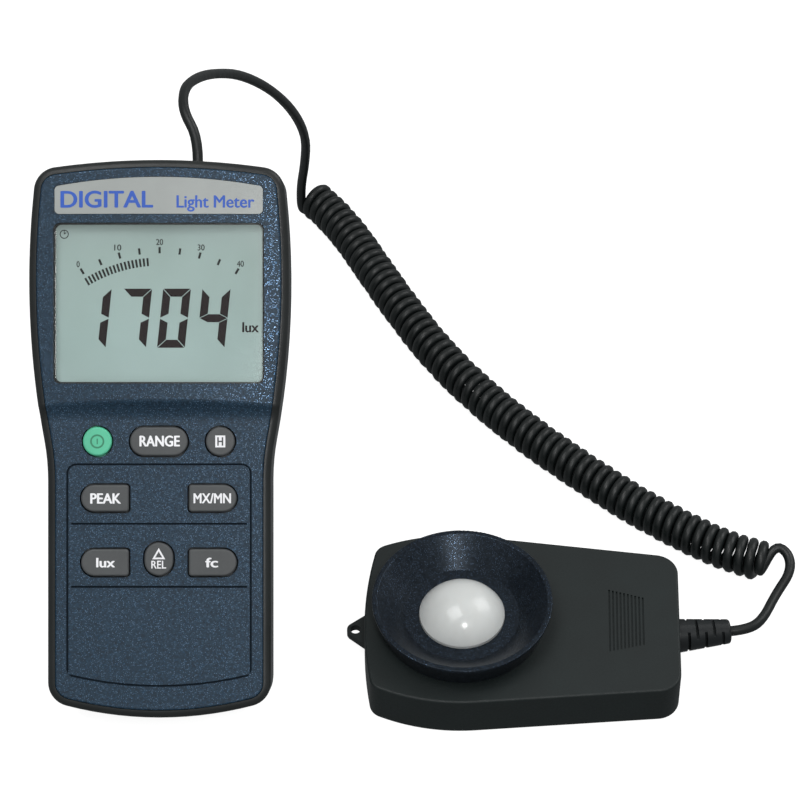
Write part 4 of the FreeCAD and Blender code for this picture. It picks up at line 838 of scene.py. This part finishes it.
def make_display():
    z = top_of("display_glass") + INK_GAP
    make_reading(z)
    make_scale(z)
    make_scale_numbers(z)
    make_clock_icon(z)
    middle = Vector((UNIT_MIDDLE[0] * MM, UNIT_MIDDLE[1] * MM, z))
    legend(
        "display_unit",
        "lux",
        "meter",
        METER,
        UNIT_HEIGHT,
        UNIT_WIDTH,
        middle,
        INK["lcd_dark"],
        UNIT_BOLD,
    )


# ---------------------------------------------------------------- the lead
CORD_RADIUS = 1.45 * MM
CORD_SMOOTHNESS = 5
ROUTE_SMOOTHNESS = 24
COIL_RADIUS = 4.55 * MM
COIL_HEIGHT = 6.05 * MM
TURNS_BY_QUARTER = (15.5, 14.6, 15.8, 16.1)
TURN_STEPS = 14
SLOW_WAVE = 0.02
SLOW_WAVE_RATE = 2.3
FAST_WAVE = 0.012
FAST_WAVE_RATE = 5.1
FAST_WAVE_START = 1.0
TAIL_START = 7.0 * MM
BOOT_TAIL_START = 5.0 * MM
METER_TAIL = [
    (-56.2, 68.0, 117.2),
    (-56.4, 77.0, 117.4),
    (-53.4, 86.6, 112.6),
    (-49.1, 97.4, 104.4),
    (-42.6, 109.4, 93.0),
    (-34.6, 120.0, 77.6),
    (-28.2, 129.0, 60.0),
    (-25.0, 136.2, 42.5),
    (-25.9, 141.2, 26.4),
    (-27.4, 144.5, 14.0),
]
COIL_MIDDLE = [
    (-24.0, 147.0),
    (-17.5, 139.3),
    (-10.5, 127.6),
    (0.5, 105.3),
    (13.3, 82.0),
    (25.7, 64.7),
    (41.0, 47.6),
    (56.9, 32.7),
    (72.5, 19.2),
    (87.1, 8.9),
    (98.0, 2.3),
    (107.7, -1.3),
]
SENSOR_TAIL = [
    (105.6, -23.3, 7.0),
    (109.9, -14.3, 7.3),
    (114.8, -6.8, 8.2),
    (114.6, -1.2, 9.6),
    (110.8, 1.8, 10.2),
]


def nurbs_object(name, points, resolution, radius=0.0):
    """A smooth open curve through the scene, as a round cord if it has a radius."""
    curve = bpy.data.curves.new(name, "CURVE")
    curve.dimensions = "3D"
    spline = curve.splines.new("NURBS")
    spline.points.add(len(points) - 1)
    for point, place in zip(spline.points, points):
        point.co = (*place, 1.0)
    spline.order_u = 3
    spline.use_endpoint_u = True
    spline.resolution_u = resolution
    curve.bevel_depth = radius
    curve.bevel_resolution = 3
    curve.use_fill_caps = True
    piece = bpy.data.objects.new(name, curve)
    bpy.context.scene.collection.objects.link(piece)
    return piece


def spline_line(points):
    """Points close together along the smooth spline of a route."""
    route = nurbs_object("route", points, ROUTE_SMOOTHNESS)
    bpy.context.view_layer.update()
    mesh = bpy.data.meshes.new_from_object(route.evaluated_get(bpy.context.evaluated_depsgraph_get()))
    line = [v.co.copy() for v in mesh.vertices]
    bpy.data.objects.remove(route)
    bpy.data.meshes.remove(mesh)
    return line


def along_line(line, share):
    """The place and direction at a share of a line's length."""
    lengths = [0.0]
    for a, b in zip(line, line[1:]):
        lengths.append(lengths[-1] + (b - a).length)
    want = min(max(share, 0.0), 1.0) * lengths[-1]
    i = 0
    while i < len(line) - 2 and lengths[i + 1] < want:
        i += 1
    run = lengths[i + 1] - lengths[i]
    part = (want - lengths[i]) / run if run else 0.0
    return line[i].lerp(line[i + 1], part), (line[i + 1] - line[i]).normalized()


def share_at(turns):
    """How far along the curl a number of turns reaches; they lie widest apart in the second quarter."""
    for quarter, many in enumerate(TURNS_BY_QUARTER):
        if turns <= many:
            return (quarter + turns / many) / 4
        turns -= many
    return 1.0


def swell(turns):
    """The share of its radius that the winding has after a number of turns; never over 1."""
    slow = SLOW_WAVE * math.sin(turns * SLOW_WAVE_RATE)
    fast = FAST_WAVE * math.sin(turns * FAST_WAVE_RATE + FAST_WAVE_START)
    return min(1.0 + slow + fast, 1.0)


def helix_points(line):
    """The curly stretch: it goes down on the side near the meter and up on the far side."""
    radius = COIL_RADIUS / math.cos(math.pi / TURN_STEPS)
    total = sum(TURNS_BY_QUARTER)
    count = int(total * TURN_STEPS)
    points = []
    for i in range(count + 1):
        turns = total * i / count
        centre, way = along_line(line, share_at(turns))
        near = Vector((way.y, -way.x, 0.0)).normalized()
        angle = -2 * math.pi * turns
        outward = near * math.cos(angle) + Vector((0, 0, 1)) * math.sin(angle)
        points.append(centre + outward * radius * swell(turns))
    return points


def make_cord():
    """The whole lead, from the gland's mouth through the curl to the boot's mouth."""
    mouth = METER @ GLAND_MOUTH_IN_METER
    out = (METER.to_3x3() @ Vector((0, 1, 0))).normalized()
    boot_out = Vector((math.cos(HEAD_TURN + BOOT_BEND), math.sin(HEAD_TURN + BOOT_BEND), 0))
    boot_root = HEAD @ BOOT_ROOT_IN_HEAD
    boot_mouth = boot_root + boot_out * BOOT_LENGTH
    middle = [Vector((x * MM, y * MM, COIL_HEIGHT)) for x, y in COIL_MIDDLE]
    coil = helix_points(spline_line(middle))
    points = [mouth, mouth + out * TAIL_START]
    points += [Vector(p) * MM for p in METER_TAIL]
    points += coil
    points += [Vector(p) * MM for p in reversed(SENSOR_TAIL)]
    points += [boot_mouth + boot_out * BOOT_TAIL_START, boot_mouth]
    cord = nurbs_object("curly_lead", points, CORD_SMOOTHNESS, CORD_RADIUS)
    cord.data.materials.append(MATERIALS["cord_black"])
    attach(cord, "meter")
    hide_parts("cord_tail_meter", "cord_coil", "cord_tail_sensor")


# ---------------------------------------------------------------- stage, light and camera
CAMERA_PLACE = Vector((3.43, -610.0, 751.5)) * MM
CAMERA_PITCH = math.radians(42.0)
CAMERA_LENS = 151.4
SENSOR_WIDTH = 36.0
SKY = [
    # share of the height from straight down to straight up, and colour
    (0.0, (0.34, 0.36, 0.37)),
    (0.48, (0.60, 0.62, 0.63)),
    (0.60, (0.64, 0.65, 0.66)),
    (1.0, (0.93, 0.94, 0.94)),
]
SKY_STRENGTH = 0.6
FLOOR_HALF_SIZE = 3.0
FLOOR_DROP = 0.0002
FLOOR_GREY = 0.25
FLOOR_GLOW = 0.92


def make_stage():
    """A bright floor that puts no light on the object and isn't mirrored in it."""
    bm = bmesh.new()
    bmesh.ops.create_grid(bm, x_segments=1, y_segments=1, size=FLOOR_HALF_SIZE)
    mesh = bpy.data.meshes.new("floor")
    bm.to_mesh(mesh)
    bm.free()
    floor = bpy.data.objects.new("floor", mesh)
    floor.location.z = -FLOOR_DROP
    bpy.context.scene.collection.objects.link(floor)
    material, tree, shader = new_material("floor_paper")
    shader.inputs["Base Color"].default_value = (FLOOR_GREY, FLOOR_GREY, FLOOR_GREY, 1.0)
    shader.inputs["Roughness"].default_value = 1.0
    shader.inputs["Specular IOR Level"].default_value = 0.0
    shader.inputs["Emission Color"].default_value = (1.0, 1.0, 1.0, 1.0)
    shader.inputs["Emission Strength"].default_value = FLOOR_GLOW
    mesh.materials.append(material)
    floor.visible_diffuse = False
    floor.visible_glossy = False


def area_light(name, place, aim, size, power):
    light = bpy.data.lights.new(name, "AREA")
    light.shape = "SQUARE"
    light.size = size
    light.energy = power
    lamp = bpy.data.objects.new(name, light)
    lamp.location = place
    lamp.rotation_euler = (Vector(aim) - Vector(place)).to_track_quat("-Z", "Y").to_euler()
    bpy.context.scene.collection.objects.link(lamp)


def make_sky():
    """A grey sky, brighter toward the top."""
    world = bpy.data.worlds.new("studio")
    bpy.context.scene.world = world
    world.use_nodes = True
    tree = world.node_tree
    split = add(tree, "ShaderNodeSeparateXYZ")
    join(tree, add(tree, "ShaderNodeTexCoord").outputs["Generated"], split.inputs["Vector"])
    sky = ramp(tree, span(tree, split.outputs["Z"], -1.0, 1.0, 0.0, 1.0), SKY)
    join(tree, sky, tree.nodes["Background"].inputs["Color"])
    tree.nodes["Background"].inputs["Strength"].default_value = SKY_STRENGTH


def make_lights():
    area_light("key_light", place=(-0.30, -0.10, 1.1), aim=(0.0, 0.02, 0.03), size=0.6, power=5.0)
    area_light("right_light", place=(0.75, 0.45, 0.75), aim=(0.0, 0.0, 0.05), size=0.6, power=4.0)
    area_light("front_light", place=(0.13, -0.58, 0.80), aim=(0.0, 0.0, 0.04), size=0.10, power=2.6)


def make_camera():
    data = bpy.data.cameras.new("camera")
    data.lens = CAMERA_LENS
    data.sensor_width = SENSOR_WIDTH
    camera = bpy.data.objects.new("camera", data)
    camera.location = CAMERA_PLACE
    camera.rotation_euler = (CAMERA_PITCH, 0.0, 0.0)
    bpy.context.scene.collection.objects.link(camera)
    bpy.context.scene.camera = camera


def main():
    make_camera()
    make_stage()
    make_sky()
    make_lights()
    make_cord()
    dress_nodes()
    make_key_legends()
    make_power_symbol()
    make_hold_symbol()
    make_relative_symbol()
    make_groove_shade_lines()
    make_label_words()
    make_display()
    bpy.context.scene.view_settings.view_transform = "Standard"


main()
